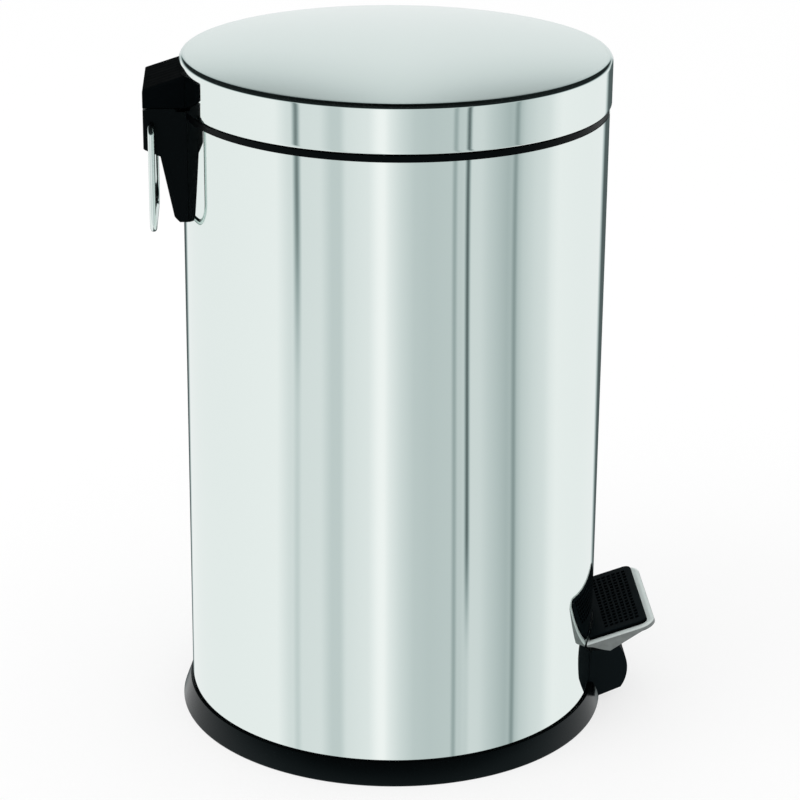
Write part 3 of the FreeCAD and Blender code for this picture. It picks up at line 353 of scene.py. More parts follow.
def tread_loop(half, outer, corner, clear, steps=12):
    """Plan of the tread, counter-clockwise: a back hollowed along the body, two sides, two round corners."""
    x = np.linspace(-half, half, steps * 3)
    back = np.stack([x, back_edge(x, clear)], axis=-1)
    side = np.linspace(back[-1, 1], outer - corner, steps)[1:-1]
    right = np.stack([np.full(len(side), half), side], axis=-1)
    front = np.linspace(half - corner, corner - half, steps)[1:-1]
    outer_edge = np.stack([front, np.full(len(front), outer)], axis=-1)
    near_corner = arc(half - corner, outer - corner, corner, 0, 90, steps)
    far_corner = arc(corner - half, outer - corner, corner, 90, 180, steps)
    left = right[::-1] * [-1.0, 1.0]
    return np.concatenate([back, right, near_corner, outer_edge, far_corner, left])


# Range in which most of a noise lies
NOISE_LOW, NOISE_HIGH = 0.3, 0.7
# Noise scales, in waves to a metre
STEEL_HAZE, STEEL_WAVES, PLATING_CLOUDS, TREAD_MOTTLE = 28.0, 9.0, 160.0, 300.0
PLASTIC_TONE, RUBBER_WEAR, RUBBER_GRAIN = 45.0, 60.0, 1800.0
# Stretch of the haze and the waves along the body
HAZE_STRETCH, WAVE_STRETCH = (1.0, 1.0, 0.25), (1.0, 1.0, 0.35)
# Height of the waves in the sheet of body, lid and wire, and of the rubber's grain, in metres
BODY_WAVE, LID_WAVE, WIRE_WAVE, RUBBER_RELIEF = 0.00012, 0.00004, 0.00001, 0.00003
# Stretch above and below the lid's brow in which its finish changes, in radii of the lid's edge
BROW_BELOW, BROW_ABOVE = 0.03, 0.05
# Moulded finishes: colour and its lightening, roughness, grains to a metre and their height in metres, share
# of the sheen, and ribs to a metre
MOULDINGS = {
    "black_moulding": ("plastic", 1.0, 0.34, 2600.0, 0.00002, 1.0, 0.0),
    "satin_moulding": ("plastic", 1.0, 0.22, 2600.0, 0.000005, 3.6, 0.0),
    "ribbed_moulding": ("plastic", 2.0, 0.60, 2600.0, 0.00002, 0.06, 150.0),
    # The guard's plastic: the black plastic made five and a half times lighter
    "worn_moulding": ("plastic", 5.5, 0.50, 2600.0, 0.00002, 1.0, 0.0),
    "black_rubber": ("rubber", 1.0, 0.55, RUBBER_GRAIN, RUBBER_RELIEF, 1.0, 0.0),
    "bucket_moulding": ("bucket", 1.0, 0.42, 1500.0, 0.00003, 1.0, 0.0),
}
# Height of a moulding's ribs against its grain
RIB_HEIGHT = 2.0
# Roughness of the pad and its share of the sheen
PAD_ROUGHNESS, PAD_SHEEN = 0.55, 0.5


def node_tree(name):
    """A new material with a bare shader, and its node tree."""
    material = bpy.data.materials.new(name)
    material.use_nodes = True
    tree = material.node_tree
    shader = next(node for node in tree.nodes if node.type == "BSDF_PRINCIPLED")
    return material, tree, shader


def add_node(tree, kind, inputs=None, **settings):
    """Add a node, set its options and fill or link its inputs."""
    node = tree.nodes.new(kind)
    for option, value in settings.items():
        setattr(node, option, value)
    for socket, value in (inputs or {}).items():
        if isinstance(value, bpy.types.NodeSocket):
            tree.links.new(value, node.inputs[socket])
        else:
            node.inputs[socket].default_value = value
    return node


def object_noise(tree, scale, detail=3.0, stretch=(1.0, 1.0, 1.0)):
    """Noise on the piece's own coordinates, in metres, stretched along the axes."""
    place = add_node(tree, "ShaderNodeTexCoord")
    turn = add_node(tree, "ShaderNodeMapping", {"Vector": place.outputs["Object"], "Scale": stretch})
    noise = add_node(tree, "ShaderNodeTexNoise",
                     {"Vector": turn.outputs["Vector"], "Scale": scale, "Detail": detail})
    return noise.outputs["Fac"]


def spread(tree, value, low, high):
    """Map a noise value from its usual range to the range from low to high."""
    ends = {"From Min": NOISE_LOW, "From Max": NOISE_HIGH, "To Min": low, "To Max": high}
    return add_node(tree, "ShaderNodeMapRange", {"Value": value, **ends}).outputs["Result"]


def maths(tree, operation, first, second=0.0):
    """One sum on two values."""
    return add_node(tree, "ShaderNodeMath", {0: first, 1: second}, operation=operation).outputs[0]


def soft_step(tree, value, start, stop, low=0.0, high=1.0):
    """Soft step: low at the start and high at the stop, and even beyond them."""
    ends = {"From Min": start, "From Max": stop, "To Min": low, "To Max": high}
    step = add_node(tree, "ShaderNodeMapRange", {"Value": value, **ends}, interpolation_type="SMOOTHSTEP")
    return step.outputs["Result"]


def between(tree, factor, first, second):
    """Mix of two values."""
    return add_node(tree, "ShaderNodeMix", {"Factor": factor, "A": first, "B": second}).outputs["Result"]


def shade(tint, factor):
    """A colour made darker or lighter."""
    return tuple(channel * factor for channel in tint)


def blend(tree, factor, first, second):
    """Mix of two colours, each a plain colour or a socket."""
    ends = [end if isinstance(end, bpy.types.NodeSocket) else (*end, 1.0) for end in (first, second)]
    mix = add_node(tree, "ShaderNodeMix", {"Factor": factor, "A": ends[0], "B": ends[1]}, data_type="RGBA")
    return mix.outputs["Result"]


def bump(tree, shader, value, height):
    """Raise the surface by a value, in metres."""
    made = add_node(tree, "ShaderNodeBump", {"Height": value, "Distance": height, "Strength": 1.0})
    tree.links.new(made.outputs["Normal"], shader.inputs["Normal"])


def polished_steel(name, tint, roughness, waviness):
    """Mirror steel: drawn vertically, with faint waves of the sheet and hazy patches in the polish."""
    material, tree, shader = node_tree(name)
    shader.inputs["Base Color"].default_value = (*tint, 1.0)
    shader.inputs["Metallic"].default_value = 1.0
    haze = object_noise(tree, STEEL_HAZE, stretch=HAZE_STRETCH)
    tree.links.new(spread(tree, haze, roughness * 0.7, roughness * 1.4), shader.inputs["Roughness"])
    waves = object_noise(tree, STEEL_WAVES, detail=1.0, stretch=WAVE_STRETCH)
    bump(tree, shader, waves, waviness)
    return material


def domed_steel(name, tint, edge_polish, dome_polish, dome_metal):
    """Steel of the lid: mirror bright on the band and its edge, and satin on the dome above them."""
    material = polished_steel(name, tint, edge_polish, LID_WAVE)
    tree = material.node_tree
    shader = next(node for node in tree.nodes if node.type == "BSDF_PRINCIPLED")
    sizes = bpy.context.scene.bin_body
    edge = sizes.lid_edge
    brow = LID_HIGH.z - sizes.lid_crown + edge
    place = add_node(tree, "ShaderNodeTexCoord")
    parts = add_node(tree, "ShaderNodeSeparateXYZ", {"Vector": place.outputs["Object"]})
    dome = soft_step(tree, parts.outputs["Z"], brow - edge * BROW_BELOW, brow + edge * BROW_ABOVE)
    tree.links.new(between(tree, dome, edge_polish, dome_polish), shader.inputs["Roughness"])
    tree.links.new(between(tree, dome, 1.0, dome_metal), shader.inputs["Metallic"])
    return material


def plated_steel(name, tint):
    """Plated inner steel: a dull metal with cloudy patches."""
    material, tree, shader = node_tree(name)
    shader.inputs["Metallic"].default_value = 1.0
    clouds = object_noise(tree, PLATING_CLOUDS)
    tree.links.new(blend(tree, clouds, shade(tint, 0.8), tint), shader.inputs["Base Color"])
    tree.links.new(spread(tree, clouds, 0.24, 0.40), shader.inputs["Roughness"])
    return material


def blue_sheen(shader, part):
    """Weak bluish sheen of plastic and rubber, or a part of it."""
    finish = bpy.context.scene.bin_finish
    shader.inputs["Specular IOR Level"].default_value = finish.sheen_level * part
    shader.inputs["Specular Tint"].default_value = (*finish.sheen, 1.0)


def moulded(name, tint, roughness, grain, height, sheen, ribs):
    """Moulded plastic or rubber: even colour with a fine spark-eroded grain, and faint ribs across x."""
    material, tree, shader = node_tree(name)
    blue_sheen(shader, sheen)
    tone = object_noise(tree, PLASTIC_TONE)
    tree.links.new(blend(tree, tone, shade(tint, 0.8), shade(tint, 1.2)), shader.inputs["Base Color"])
    tree.links.new(spread(tree, tone, roughness * 0.9, roughness * 1.1), shader.inputs["Roughness"])
    relief = object_noise(tree, grain, detail=2.0)
    if ribs:
        place = add_node(tree, "ShaderNodeTexCoord")
        parts = add_node(tree, "ShaderNodeSeparateXYZ", {"Vector": place.outputs["Object"]})
        wave = maths(tree, "SINE", maths(tree, "MULTIPLY", parts.outputs["X"], ribs * math.tau))
        relief = maths(tree, "ADD", relief, maths(tree, "MULTIPLY", wave, RIB_HEIGHT))
    bump(tree, shader, relief, height)
    return material


def above_tread(tree, rise):
    """Height above the tread's plane, raised by this much: N . P - N . P0 on the piece's coordinates."""
    pedal = bpy.context.scene.bin_pedal
    normal = Vector((0.0, math.sin(pedal.tilt), math.cos(pedal.tilt)))
    level = normal.dot(Vector((0.0, -BODY_HIGH.x, pedal.height))) + rise
    place = add_node(tree, "ShaderNodeTexCoord")
    pair = {0: place.outputs["Object"], 1: normal}
    along = add_node(tree, "ShaderNodeVectorMath", pair, operation="DOT_PRODUCT")
    return maths(tree, "SUBTRACT", along.outputs["Value"], level)


def satin_steel(name, tint, bare):
    """Satin steel of the tread: mottled, with its upper face painted lighter than the steel and painted shade
    darkening the turned-down flanges below it.
    """
    material, tree, shader = node_tree(name)
    finish, pedal = bpy.context.scene.bin_finish, bpy.context.scene.bin_pedal
    shader.inputs["Metallic"].default_value = finish.tread_metal
    shader.inputs["Roughness"].default_value = finish.tread_polish
    mottle = object_noise(tree, TREAD_MOTTLE, detail=1.0)
    # Painted light: the upper face is painted lighter than the steel, and the flanges below it are darkened
    # by the flange shade as painted shade
    upper = blend(tree, mottle, shade(tint, 1.04), shade(tint, 1.14))
    lower = blend(tree, mottle, shade(tint, bare * 0.7), shade(tint, bare * 1.1))
    low = soft_step(tree, above_tread(tree, pedal.sheet), -FLANGE_SHADE_START, -FLANGE_SHADE_STOP)
    tree.links.new(blend(tree, low, upper, lower), shader.inputs["Base Color"])
    return material


def pitted_rubber(name, tint):
    """Rubber of the pad: grey on its ribs, and painted near black in its pits as painted shade."""
    material, tree, shader = node_tree(name)
    pedal = bpy.context.scene.bin_pedal
    blue_sheen(shader, PAD_SHEEN)
    shader.inputs["Roughness"].default_value = PAD_ROUGHNESS
    depth = above_tread(tree, pedal.sheet + pedal.pad_thickness)
    # Painted shade: the pits are darkened to near black below the pad's top
    painted_pit_shade = soft_step(tree, depth, -pedal.pit_depth * 0.1, -pedal.pit_depth * 0.6)
    grain = object_noise(tree, RUBBER_GRAIN, detail=2.0)
    worn = blend(tree, object_noise(tree, RUBBER_WEAR), shade(tint, 0.75), shade(tint, 1.25))
    tree.links.new(blend(tree, painted_pit_shade, worn, shade(tint, 0.08)), shader.inputs["Base Color"])
    bump(tree, shader, grain, RUBBER_RELIEF)
    return material


def finish_for(name, build, *values):
    """A finish by name, made the first time that it is asked for."""
    return bpy.data.materials.get(name) or build(name, *values)


def wall_steel():
    """Steel of the body."""
    finish = bpy.context.scene.bin_finish
    return finish_for("mirror_steel", polished_steel, tuple(finish.steel), finish.steel_polish, BODY_WAVE)


def dome_steel():
    """Steel of the lid, whose band is a little duller than the body."""
    finish = bpy.context.scene.bin_finish
    band_polish = finish.steel_polish * 2.0
    return finish_for("lid_steel", domed_steel, tuple(finish.steel), band_polish, finish.dome_polish,
                      finish.dome_metal)


def pedal_steel():
    """Steel of the tread."""
    finish = bpy.context.scene.bin_finish
    return finish_for("tread_steel", satin_steel, tuple(finish.steel), finish.flange_shade)


def wire_chrome():
    """Bright plating of the carrying wire."""
    finish = bpy.context.scene.bin_finish
    return finish_for("wire_chrome", polished_steel, tuple(finish.steel), finish.wire_polish, WIRE_WAVE)


def moulding(name):
    """A moulded finish from the list of mouldings."""
    tint, lightening, *rest = MOULDINGS[name]
    return finish_for(name, moulded, shade(getattr(bpy.context.scene.bin_finish, tint), lightening), *rest)


def pad_rubber():
    """Rubber of the pedal pad."""
    finish = bpy.context.scene.bin_finish
    return finish_for("black_tread_rubber", pitted_rubber, tuple(finish.rubber))


def inner_steel():
    """Plated steel of the mechanism."""
    finish = bpy.context.scene.bin_finish
    return finish_for("plated_inner_steel", plated_steel, tuple(finish.plated))


def paint_node(name, finish):
    """Give a CAD node its finish."""
    node = NODES[name]
    for place in node.material_slots:
        place.material = finish


class PEDALBIN_OT_body(bpy.types.Operator):
    """Build the rolled steel body with its slot and its notch"""

    bl_idname = "pedalbin.body"
    bl_label = "Steel body"

    def execute(self, context):
        sizes = context.scene.bin_body
        outer = BODY_HIGH.x
        above = BODY_HIGH.z + sizes.body_wall
        windows = [
            (-math.pi / 2, math.asin(sizes.slot_half / outer), sizes.slot_low, sizes.slot_high),
            (math.pi / 2, math.asin(sizes.notch_half / outer), sizes.notch_low, above),
        ]
        mesh = windowed_tube("steel_body", outer, outer - sizes.body_wall, BODY_LOW.z, BODY_HIGH.z, windows)
        add_piece("steel_body", mesh, "bin", wall_steel(), "body_shell")
        return {"FINISHED"}


class PEDALBIN_OT_lid(bpy.types.Operator):
    """Build the domed lid with its round edge, upright band and hem"""

    bl_idname = "pedalbin.lid"
    bl_label = "Domed lid"

    def execute(self, context):
        sizes = context.scene.bin_body
        radius, low, top = LID_HIGH.x, LID_LOW.z, LID_HIGH.z
        shoulder = top - sizes.lid_crown
        edge, wall, crown = sizes.lid_edge, sizes.lid_wall, sizes.lid_crown
        flat = radius - edge
        dome = (flat ** 2 + crown ** 2 - edge ** 2) / (2 * (crown - edge))
        centre = top - dome
        lean = math.degrees(math.asin(flat / (dome - edge)))
        hem = radius - sizes.hem_wall
        curl = sizes.hem_round
        inner_curl = sizes.hem_wall - curl
        profile = np.concatenate([
            arc(hem + inner_curl, low + inner_curl, inner_curl, 180, 270, 5)[:-1],
            arc(radius - curl, low + curl, curl, 270, 360, 7),
            np.stack([np.full(9, radius), np.linspace(low + 2 * curl, shoulder, 9)], axis=-1),
            arc(flat, shoulder, edge, 0, 90 - lean, 24)[1:],
            arc(0, centre, dome, 90 - lean, 90, 48)[1:],
            arc(0, centre, dome - wall, 90, 90 - lean, 48),
            arc(flat, shoulder, edge - wall, 90 - lean, 0, 16)[1:],
            line((radius - wall, low + sizes.hem_height), (hem, low + sizes.hem_height)),
        ])
        mesh = turned("lid_dome", profile)
        add_piece("lid_dome", mesh, "lid", dome_steel(), "lid_shell")
        return {"FINISHED"}


class PEDALBIN_OT_rings(bpy.types.Operator):
    """Finish the collar, the lid's liner and the rod's guides, and build the flared floor ring"""

    bl_idname = "pedalbin.rings"
    bl_label = "Collar and floor ring"

    def execute(self, context):
        for name in ("top_collar", "lid_liner", "rod_guide_1", "rod_guide_2"):
            paint_node(name, moulding("black_moulding"))
        sizes = context.scene.bin_body
        body, web, high = BODY_HIGH.x, sizes.ring_web, RING_HIGH.z
        outer, curl = RING_HIGH.x, sizes.ring_round
        edge = body + sizes.ring_lap
        lean = math.degrees(math.atan2(outer - edge, high - 2 * curl))
        slot_out, slot_in = body + sizes.ring_gap, body - sizes.body_wall - sizes.ring_gap
        lip, lip_high = slot_in - sizes.ring_lip_wall, sizes.ring_lip_height
        profile = np.concatenate([
            line((body - sizes.ring_band, 0.0)),
            arc(outer - curl, curl, curl, -90, lean, 10),
            arc(edge - curl, high - curl, curl, lean, 90, 8),
            line((slot_out, high), (slot_out, web), (slot_in, web), (slot_in, lip_high), (lip, lip_high),
                 (lip, web), (body - sizes.ring_band, web)),
        ])
        mesh = turned("floor_ring", profile)
        add_piece("floor_ring", mesh, "bin", moulding("satin_moulding"), "base_ring")
        return {"FINISHED"}


class PEDALBIN_OT_hinge(bpy.types.Operator):
    """Finish the hinge and the guard, and build the carrying wire"""

    bl_idname = "pedalbin.hinge"
    bl_label = "Hinge and carrying wire"

    def execute(self, context):
        paint_node("hinge_bracket", moulding("black_moulding"))
        paint_node("lid_hinge_block", moulding("ribbed_moulding"))
        paint_node("pedal_guard", moulding("worn_moulding"))
        radius = (HANDLE_HIGH.y - HANDLE_LOW.y) / 2
        middle = (HANDLE_HIGH.y + HANDLE_LOW.y) / 2
        half = HANDLE_HIGH.x - radius
        top = HANDLE_HIGH.z - radius
        foot = HANDLE_LOW.z + radius
        sizes = context.scene.bin_body
        bend, corner, stub = sizes.wire_bend, sizes.wire_corner, sizes.wire_stub
        inner, lower, upper = half - corner, foot + corner, top - bend
        right = np.concatenate([
            line((inner - WIRE_LEAD, foot), (inner - WIRE_STEP, foot)),
            arc(inner, lower, corner, -90, 0, 20),
            line((half, lower + WIRE_STEP), (half, upper - WIRE_STEP)),
            arc(half - bend, upper, bend, 0, 90, 14),
            line((half - bend - WIRE_STEP, top), (stub, top)),
        ])
        path = np.concatenate([right[::-1] * [-1.0, 1.0], right])
        path = np.stack([path[:, 0], np.full(len(path), middle), path[:, 1]], axis=-1)
        mesh = tube("carrying_wire", path, radius)
        add_piece("carrying_wire", mesh, "handle", wire_chrome(), "carry_handle")
        return {"FINISHED"}


class PEDALBIN_OT_tread(bpy.types.Operator):
    """Build the pressed tread plate with its turned-down rim and side flanges"""

    bl_idname = "pedalbin.tread"
    bl_label = "Tread plate"

    def execute(self, context):
        pedal = context.scene.bin_pedal
        bend, sheet = pedal.bend, pedal.sheet
        clear = back_radius(sheet)
        loop = tread_loop(pedal.half, pedal.run, pedal.corner, clear)
        along = loop[:, 1]
        heel_rise = np.interp(along, [along.min(), pedal.flange_heel, pedal.run - pedal.corner, pedal.run],
                              [sheet, pedal.flange, pedal.skirt, pedal.skirt])
        rim = (np.abs(loop[:, 0]) > pedal.half - SLACK) | (along > pedal.run - pedal.corner - SLACK)
        depth = np.where(rim, np.maximum(heel_rise, bend + RIM_DROP), sheet)
        normal = outward(loop)
        turn = np.where(rim, bend, BACK_ROUND)[:, None]
        rows = [(loop - normal * (turn * inset), sheet) for inset in RIM_SUPPORT]
        for a in np.radians(np.linspace(90, 0, 7)):
            rows.append((loop - normal * turn * (1 - math.cos(a)), sheet - turn[:, 0] * (1 - math.sin(a))))
        inside = loop - normal * sheet
        under = loop - normal * UNDER_INSET
        rows += [(loop, sheet - depth), (inside, sheet - depth), (inside, 0.0), (under, 0.0)]
        points = np.stack([
            np.concatenate([plan, np.broadcast_to(above, len(loop))[:, None]], axis=1) for plan, above in rows
        ])
        count = len(loop)
        numbers = np.arange(count)[None, :]
        quads = grid_quads(len(rows), count, wrap_columns=True)
        mesh = mesh_of("tread_plate", on_pedal(points), quads, numbers, numbers + (len(rows) - 1) * count)
        add_piece("tread_plate", mesh, "pedal", pedal_steel(), "pedal_plate")
        return {"FINISHED"}


def pit_lines(middles, half, slope, edges):
    """Grid lines through a row of pits and its margins, and which of them run along a pit's floor."""
    offsets = np.array([-half, slope - half, half - slope, half])
    lines = (np.asarray(middles)[:, None] + offsets).ravel()
    floor = np.tile([False, True, True, False], len(middles))
    lines = np.concatenate([lines, edges])
    floor = np.concatenate([floor, np.zeros(len(edges), dtype=bool)])
    order = np.argsort(lines)
    return lines[order], floor[order]


class PEDALBIN_OT_pad(bpy.types.Operator):
    """Build the rubber pad with its rows of square pits, and finish the lid's bumpers"""

    bl_idname = "pedalbin.pad"
    bl_label = "Rubber pad"

    def execute(self, context):
        pedal = context.scene.bin_pedal
        curve = pedal.pad_round
        top = pedal.sheet + pedal.pad_thickness
        half = pedal.half - pedal.pad_margin - curve
        outer = pedal.run - pedal.pad_outer - curve
        clear = back_radius(top)
        middles = (np.arange(pedal.pits) - (pedal.pits - 1) / 2) * pedal.pit_pitch
        rows = outer + curve - pedal.row_last - np.arange(pedal.rows) * pedal.row_pitch
        margin = np.linspace(0, 1, 4) * (half - middles[-1] - pedal.pit_half) * MARGIN_SHARE
        sides = np.concatenate([half - margin, margin - half])
        x, deep_x = pit_lines(middles, pedal.pit_half, pedal.pit_slope, sides)
        end = np.linspace(0, 1, 4) * (outer - rows[0] - pedal.row_half) * MARGIN_SHARE
        v, deep_v = pit_lines(rows, pedal.row_half, pedal.pit_slope, outer - end)
        across, along = np.meshgrid(x, np.concatenate([[0.0], v]), indexing="ij")
        along[:, 0] = back_edge(x, clear) + curve
        bend = pedal.pad_corner - curve
        past = np.stack([np.abs(across) - (half - bend), along - (outer - bend)], axis=-1)
        reach = np.linalg.norm(past, axis=-1)
        pull = np.where((past.min(axis=-1) > 0) & (reach > bend), bend / np.maximum(reach, bend), 1.0)
        across = np.where(pull < 1, np.sign(across) * (half - bend + past[..., 0] * pull), across)
        along = np.where(pull < 1, outer - bend + past[..., 1] * pull, along)
        above = top - pedal.pit_depth * np.outer(deep_x, np.concatenate([[False], deep_v]))
        sheet = np.stack([across, along, above], axis=-1)
        edge = np.concatenate([sheet[:-1, 0], sheet[-1, :-1], sheet[:0:-1, -1], sheet[0, :0:-1]])
        normal = outward(edge[:, :2])
        t = np.radians(np.linspace(0, 90, 6))[:, None, None]
        plan = edge[None, :, :2] + normal * curve * np.sin(t)
        drop = np.broadcast_to(top - curve * (1 - np.cos(t)), plan.shape[:2] + (1,))
        foot = np.concatenate([plan[-1], np.full((len(edge), 1), pedal.sheet)], axis=-1)
        wall = np.concatenate([np.concatenate([plan, drop], axis=-1), foot[None]])
        first = sheet.shape[0] * sheet.shape[1]
        points = np.concatenate([sheet.reshape(-1, 3), wall.reshape(-1, 3)])
        base = first + (len(wall) - 1) * len(edge) + np.arange(len(edge))[None, :]
        mesh = mesh_of("tread_pad", on_pedal(points), grid_quads(*sheet.shape[:2]),
                       grid_quads(len(wall), len(edge), wrap_columns=True, first=first), base)
        add_piece("tread_pad", mesh, "pedal", pad_rubber(), "pedal_pad")
        for name in ("lid_bumper_1", "lid_bumper_2", "lid_bumper_3"):
            paint_node(name, moulding("black_rubber"))
        return {"FINISHED"}


class PEDALBIN_OT_mechanism(bpy.types.Operator):
    """Finish the plated mechanism, its screws and the bucket"""

    bl_idname = "pedalbin.mechanism"
    bl_label = "Mechanism and bucket"

    def execute(self, context):
        slots = {part["node"]: part["material_slot"] for part in frame["record"]["subparts"]}
        for name, slot in slots.items():
            if slot == "plated_steel":
                paint_node(name, inner_steel())
        paint_node("inner_bucket", moulding("bucket_moulding"))
        return {"FINISHED"}


# Brightness of the table round the bin: degrees from the camera's side, rightwards, and a share of white
TABLE = (
    (-180, 0.10), (-161, 0.11), (-155, 0.95), (-66, 1.0), (-58, 0.84), (-40, 0.86), (-34, 0.70),
    (-29, 0.70), (-26, 0.86), (-14, 0.92), (-9, 1.06), (-6, 1.07), (-3, 0.95), (3, 0.80),
    (10, 0.68), (18, 0.65), (35, 0.68), (41, 0.80), (46, 0.79), (51, 0.70), (62, 0.54), (69, 0.60),
    (72, 0.70), (80, 0.80), (88, 0.86), (93, 0.95), (98, 1.0), (147, 0.95), (154, 0.12), (180, 0.10),
)
# Dark flags on the table: degrees rightwards, half width, darkness far out and close to the bin, and the
# stretch between far and close where it changes
FLAGS = (
    (-53.5, 3.2, 0.72, 0.14, 0.0, 0.42),
    (31.5, 2.2, 0.34, 0.34, 0.0, 1.0),
    (38.7, 2.2, 0.80, 0.05, 0.60, 0.85),
    (66.6, 2.6, 0.36, 0.40, 0.0, 1.0),
)
# Brightness of the backdrop behind the bin: degrees above the level, and a share of white
BACKDROP = (
    (-90, 0.88), (0, 0.88), (8, 0.86), (16, 0.83), (24, 0.80), (32, 0.68), (37, 0.40), (42, 0.02), (90, 0.0),
)
# Brightness of the room beside the bin: degrees above the level, and a share of white
ROOM = ((-90, 0.85), (2, 0.8), (8, 0.25), (12, 0.02), (90, 0.0))
# Half width of the backdrop, its soft edge and the level of its foot
BACKDROP_HALF, BACKDROP_FADE, BACKDROP_FOOT = math.radians(16.0), math.radians(4.0), math.radians(-8.0)
# How far the backdrop's dark top comes down for each degree sideways
BACKDROP_ARCH = 1.3
# Levels between which the table passes from far out to close to the bin
TABLE_FAR, TABLE_NEAR = math.radians(-16.0), math.radians(-28.0)
# Levels between which the table's end passes into the room
HORIZON_LOW, HORIZON_HIGH = math.radians(-3.0), math.radians(1.0)
# Spread of the table's bands close to the bin, and their turn there
TABLE_FAN, TABLE_LEAN = 0.945, math.radians(-2.0)
# Share of red that the darkest surroundings lack
RED_LOSS = 0.25
# Share of the floor's brightness that shadows don't reach
FLOOR_LIFT = 0.7
# Camera: width of its sensor in millimetres, millimetres to a metre, and its nearest sight in metres
SENSOR, MILLIMETRES, NEAREST = 36.0, 1000, 0.05


def fill_ramp(tree, value, stops, low, high):
    """Brightness on an angle, from pairs of degrees and brightness."""
    ends = {"From Min": math.radians(low), "From Max": math.radians(high)}
    share_of = add_node(tree, "ShaderNodeMapRange", {"Value": value, **ends})
    ramp = add_node(tree, "ShaderNodeValToRGB", {"Fac": share_of.outputs["Result"]})
    elements = ramp.color_ramp.elements
    while len(elements) < len(stops):
        elements.new(0.5)
    for element, (place, level) in zip(elements, stops):
        element.position = (place - low) / (high - low)
        element.color = (level, level, level, 1.0)
    return ramp.outputs["Color"]


def light_world(stage):
    """White studio: even light for the room, and a table, flags and backdrop that only shiny faces see.

    The table is banded by the angle round the bin, the backdrop and the room by the angle above the level.
    """
    world = bpy.data.worlds.new("studio")
    bpy.context.scene.world = world
    world.use_nodes = True
    tree = world.node_tree
    tree.nodes.clear()
    place = add_node(tree, "ShaderNodeTexCoord")
    to_camera = {"Vector": place.outputs["Generated"], "Angle": -stage.side - math.pi / 2}
    facing = add_node(tree, "ShaderNodeVectorRotate", to_camera, rotation_type="Z_AXIS")
    parts = add_node(tree, "ShaderNodeSeparateXYZ", {"Vector": facing.outputs["Vector"]})
    turn = maths(tree, "ARCTAN2", maths(tree, "MULTIPLY", parts.outputs["Y"], -1.0),
                 maths(tree, "MULTIPLY", parts.outputs["X"], -1.0))
    rise = maths(tree, "ARCSINE", parts.outputs["Z"])
    depths = {"Value": rise, "From Min": TABLE_FAR, "From Max": TABLE_NEAR}
    near = add_node(tree, "ShaderNodeMapRange", depths).outputs["Result"]
    fan = maths(tree, "ADD", maths(tree, "MULTIPLY", turn, soft_step(tree, near, 0.0, 1.0, 1.0, TABLE_FAN)),
                maths(tree, "MULTIPLY", near, TABLE_LEAN))
    table = fill_ramp(tree, fan, TABLE, -180, 180)
    for middle, half, dark_far, dark_near, start, stop in FLAGS:
        off = maths(tree, "ABSOLUTE", maths(tree, "SUBTRACT", fan, math.radians(middle)))
        depth = soft_step(tree, near, start, stop, dark_far, dark_near)
        flag = maths(tree, "MULTIPLY", soft_step(tree, off, math.radians(half), 0.0), depth)
        table = maths(tree, "MULTIPLY", table, maths(tree, "SUBTRACT", 1.0, flag))
    behind = maths(tree, "SUBTRACT", math.pi, maths(tree, "ABSOLUTE", turn))
    horizon = soft_step(tree, rise, HORIZON_LOW, HORIZON_HIGH)
    level = between(tree, horizon, table, fill_ramp(tree, rise, ROOM, -90, 90))
    panel = maths(tree, "MULTIPLY", soft_step(tree, behind, BACKDROP_HALF + BACKDROP_FADE, BACKDROP_HALF),
                  soft_step(tree, rise, BACKDROP_FOOT - BACKDROP_FADE, BACKDROP_FOOT))
    panel_rise = maths(tree, "ADD", rise, maths(tree, "MULTIPLY", behind, BACKDROP_ARCH))
    level = between(tree, panel, level, fill_ramp(tree, panel_rise, BACKDROP, -90, 90))
    kept = maths(tree, "ADD", maths(tree, "MULTIPLY", level, RED_LOSS), 1.0 - RED_LOSS)
    seen = add_node(tree, "ShaderNodeCombineColor", {
        "Red": maths(tree, "MULTIPLY", level, kept), "Green": level, "Blue": level}).outputs["Color"]
    path = add_node(tree, "ShaderNodeLightPath")
    even = add_node(tree, "ShaderNodeBackground", {"Color": (1.0, 1.0, 1.0, 1.0), "Strength": stage.ambient})
    white = add_node(tree, "ShaderNodeBackground", {"Color": (1.0, 1.0, 1.0, 1.0), "Strength": 1.0})
    banded = add_node(tree, "ShaderNodeBackground", {"Color": seen, "Strength": 1.0})
    plain = maths(tree, "MAXIMUM", path.outputs["Is Camera Ray"], path.outputs["Is Transmission Ray"])
    back = add_node(tree, "ShaderNodeMixShader", {0: plain, 1: even.outputs[0], 2: white.outputs[0]})
    whole = add_node(tree, "ShaderNodeMixShader",
                     {0: path.outputs["Is Glossy Ray"], 1: back.outputs[0], 2: banded.outputs[0]})
    out = add_node(tree, "ShaderNodeOutputWorld")
    tree.links.new(whole.outputs[0], out.inputs["Surface"])


def pale_floor(stage):
    """White floor that keeps the shadow, and lets the metal see past it to the studio."""
    material, tree, shader = node_tree("pale_floor")
    shader.inputs["Base Color"].default_value = (*[stage.floor_tint] * 3, 1.0)
    shader.inputs["Roughness"].default_value = 1.0
    shader.inputs["Specular IOR Level"].default_value = 0.0
    path = add_node(tree, "ShaderNodeLightPath")
    glow = add_node(tree, "ShaderNodeEmission", {"Color": (1.0, 1.0, 1.0, 1.0), "Strength": 1.0})
    lift = maths(tree, "MULTIPLY", path.outputs["Is Camera Ray"], FLOOR_LIFT)
    pale = add_node(tree, "ShaderNodeMixShader", {0: lift, 1: shader.outputs[0], 2: glow.outputs[0]})
    clear = add_node(tree, "ShaderNodeBsdfTransparent")
    mix = add_node(tree, "ShaderNodeMixShader",
                   {0: path.outputs["Is Glossy Ray"], 1: pale.outputs[0], 2: clear.outputs[0]})
    out = next(node for node in tree.nodes if node.type == "OUTPUT_MATERIAL")
    tree.links.new(mix.outputs[0], out.inputs["Surface"])
    return material


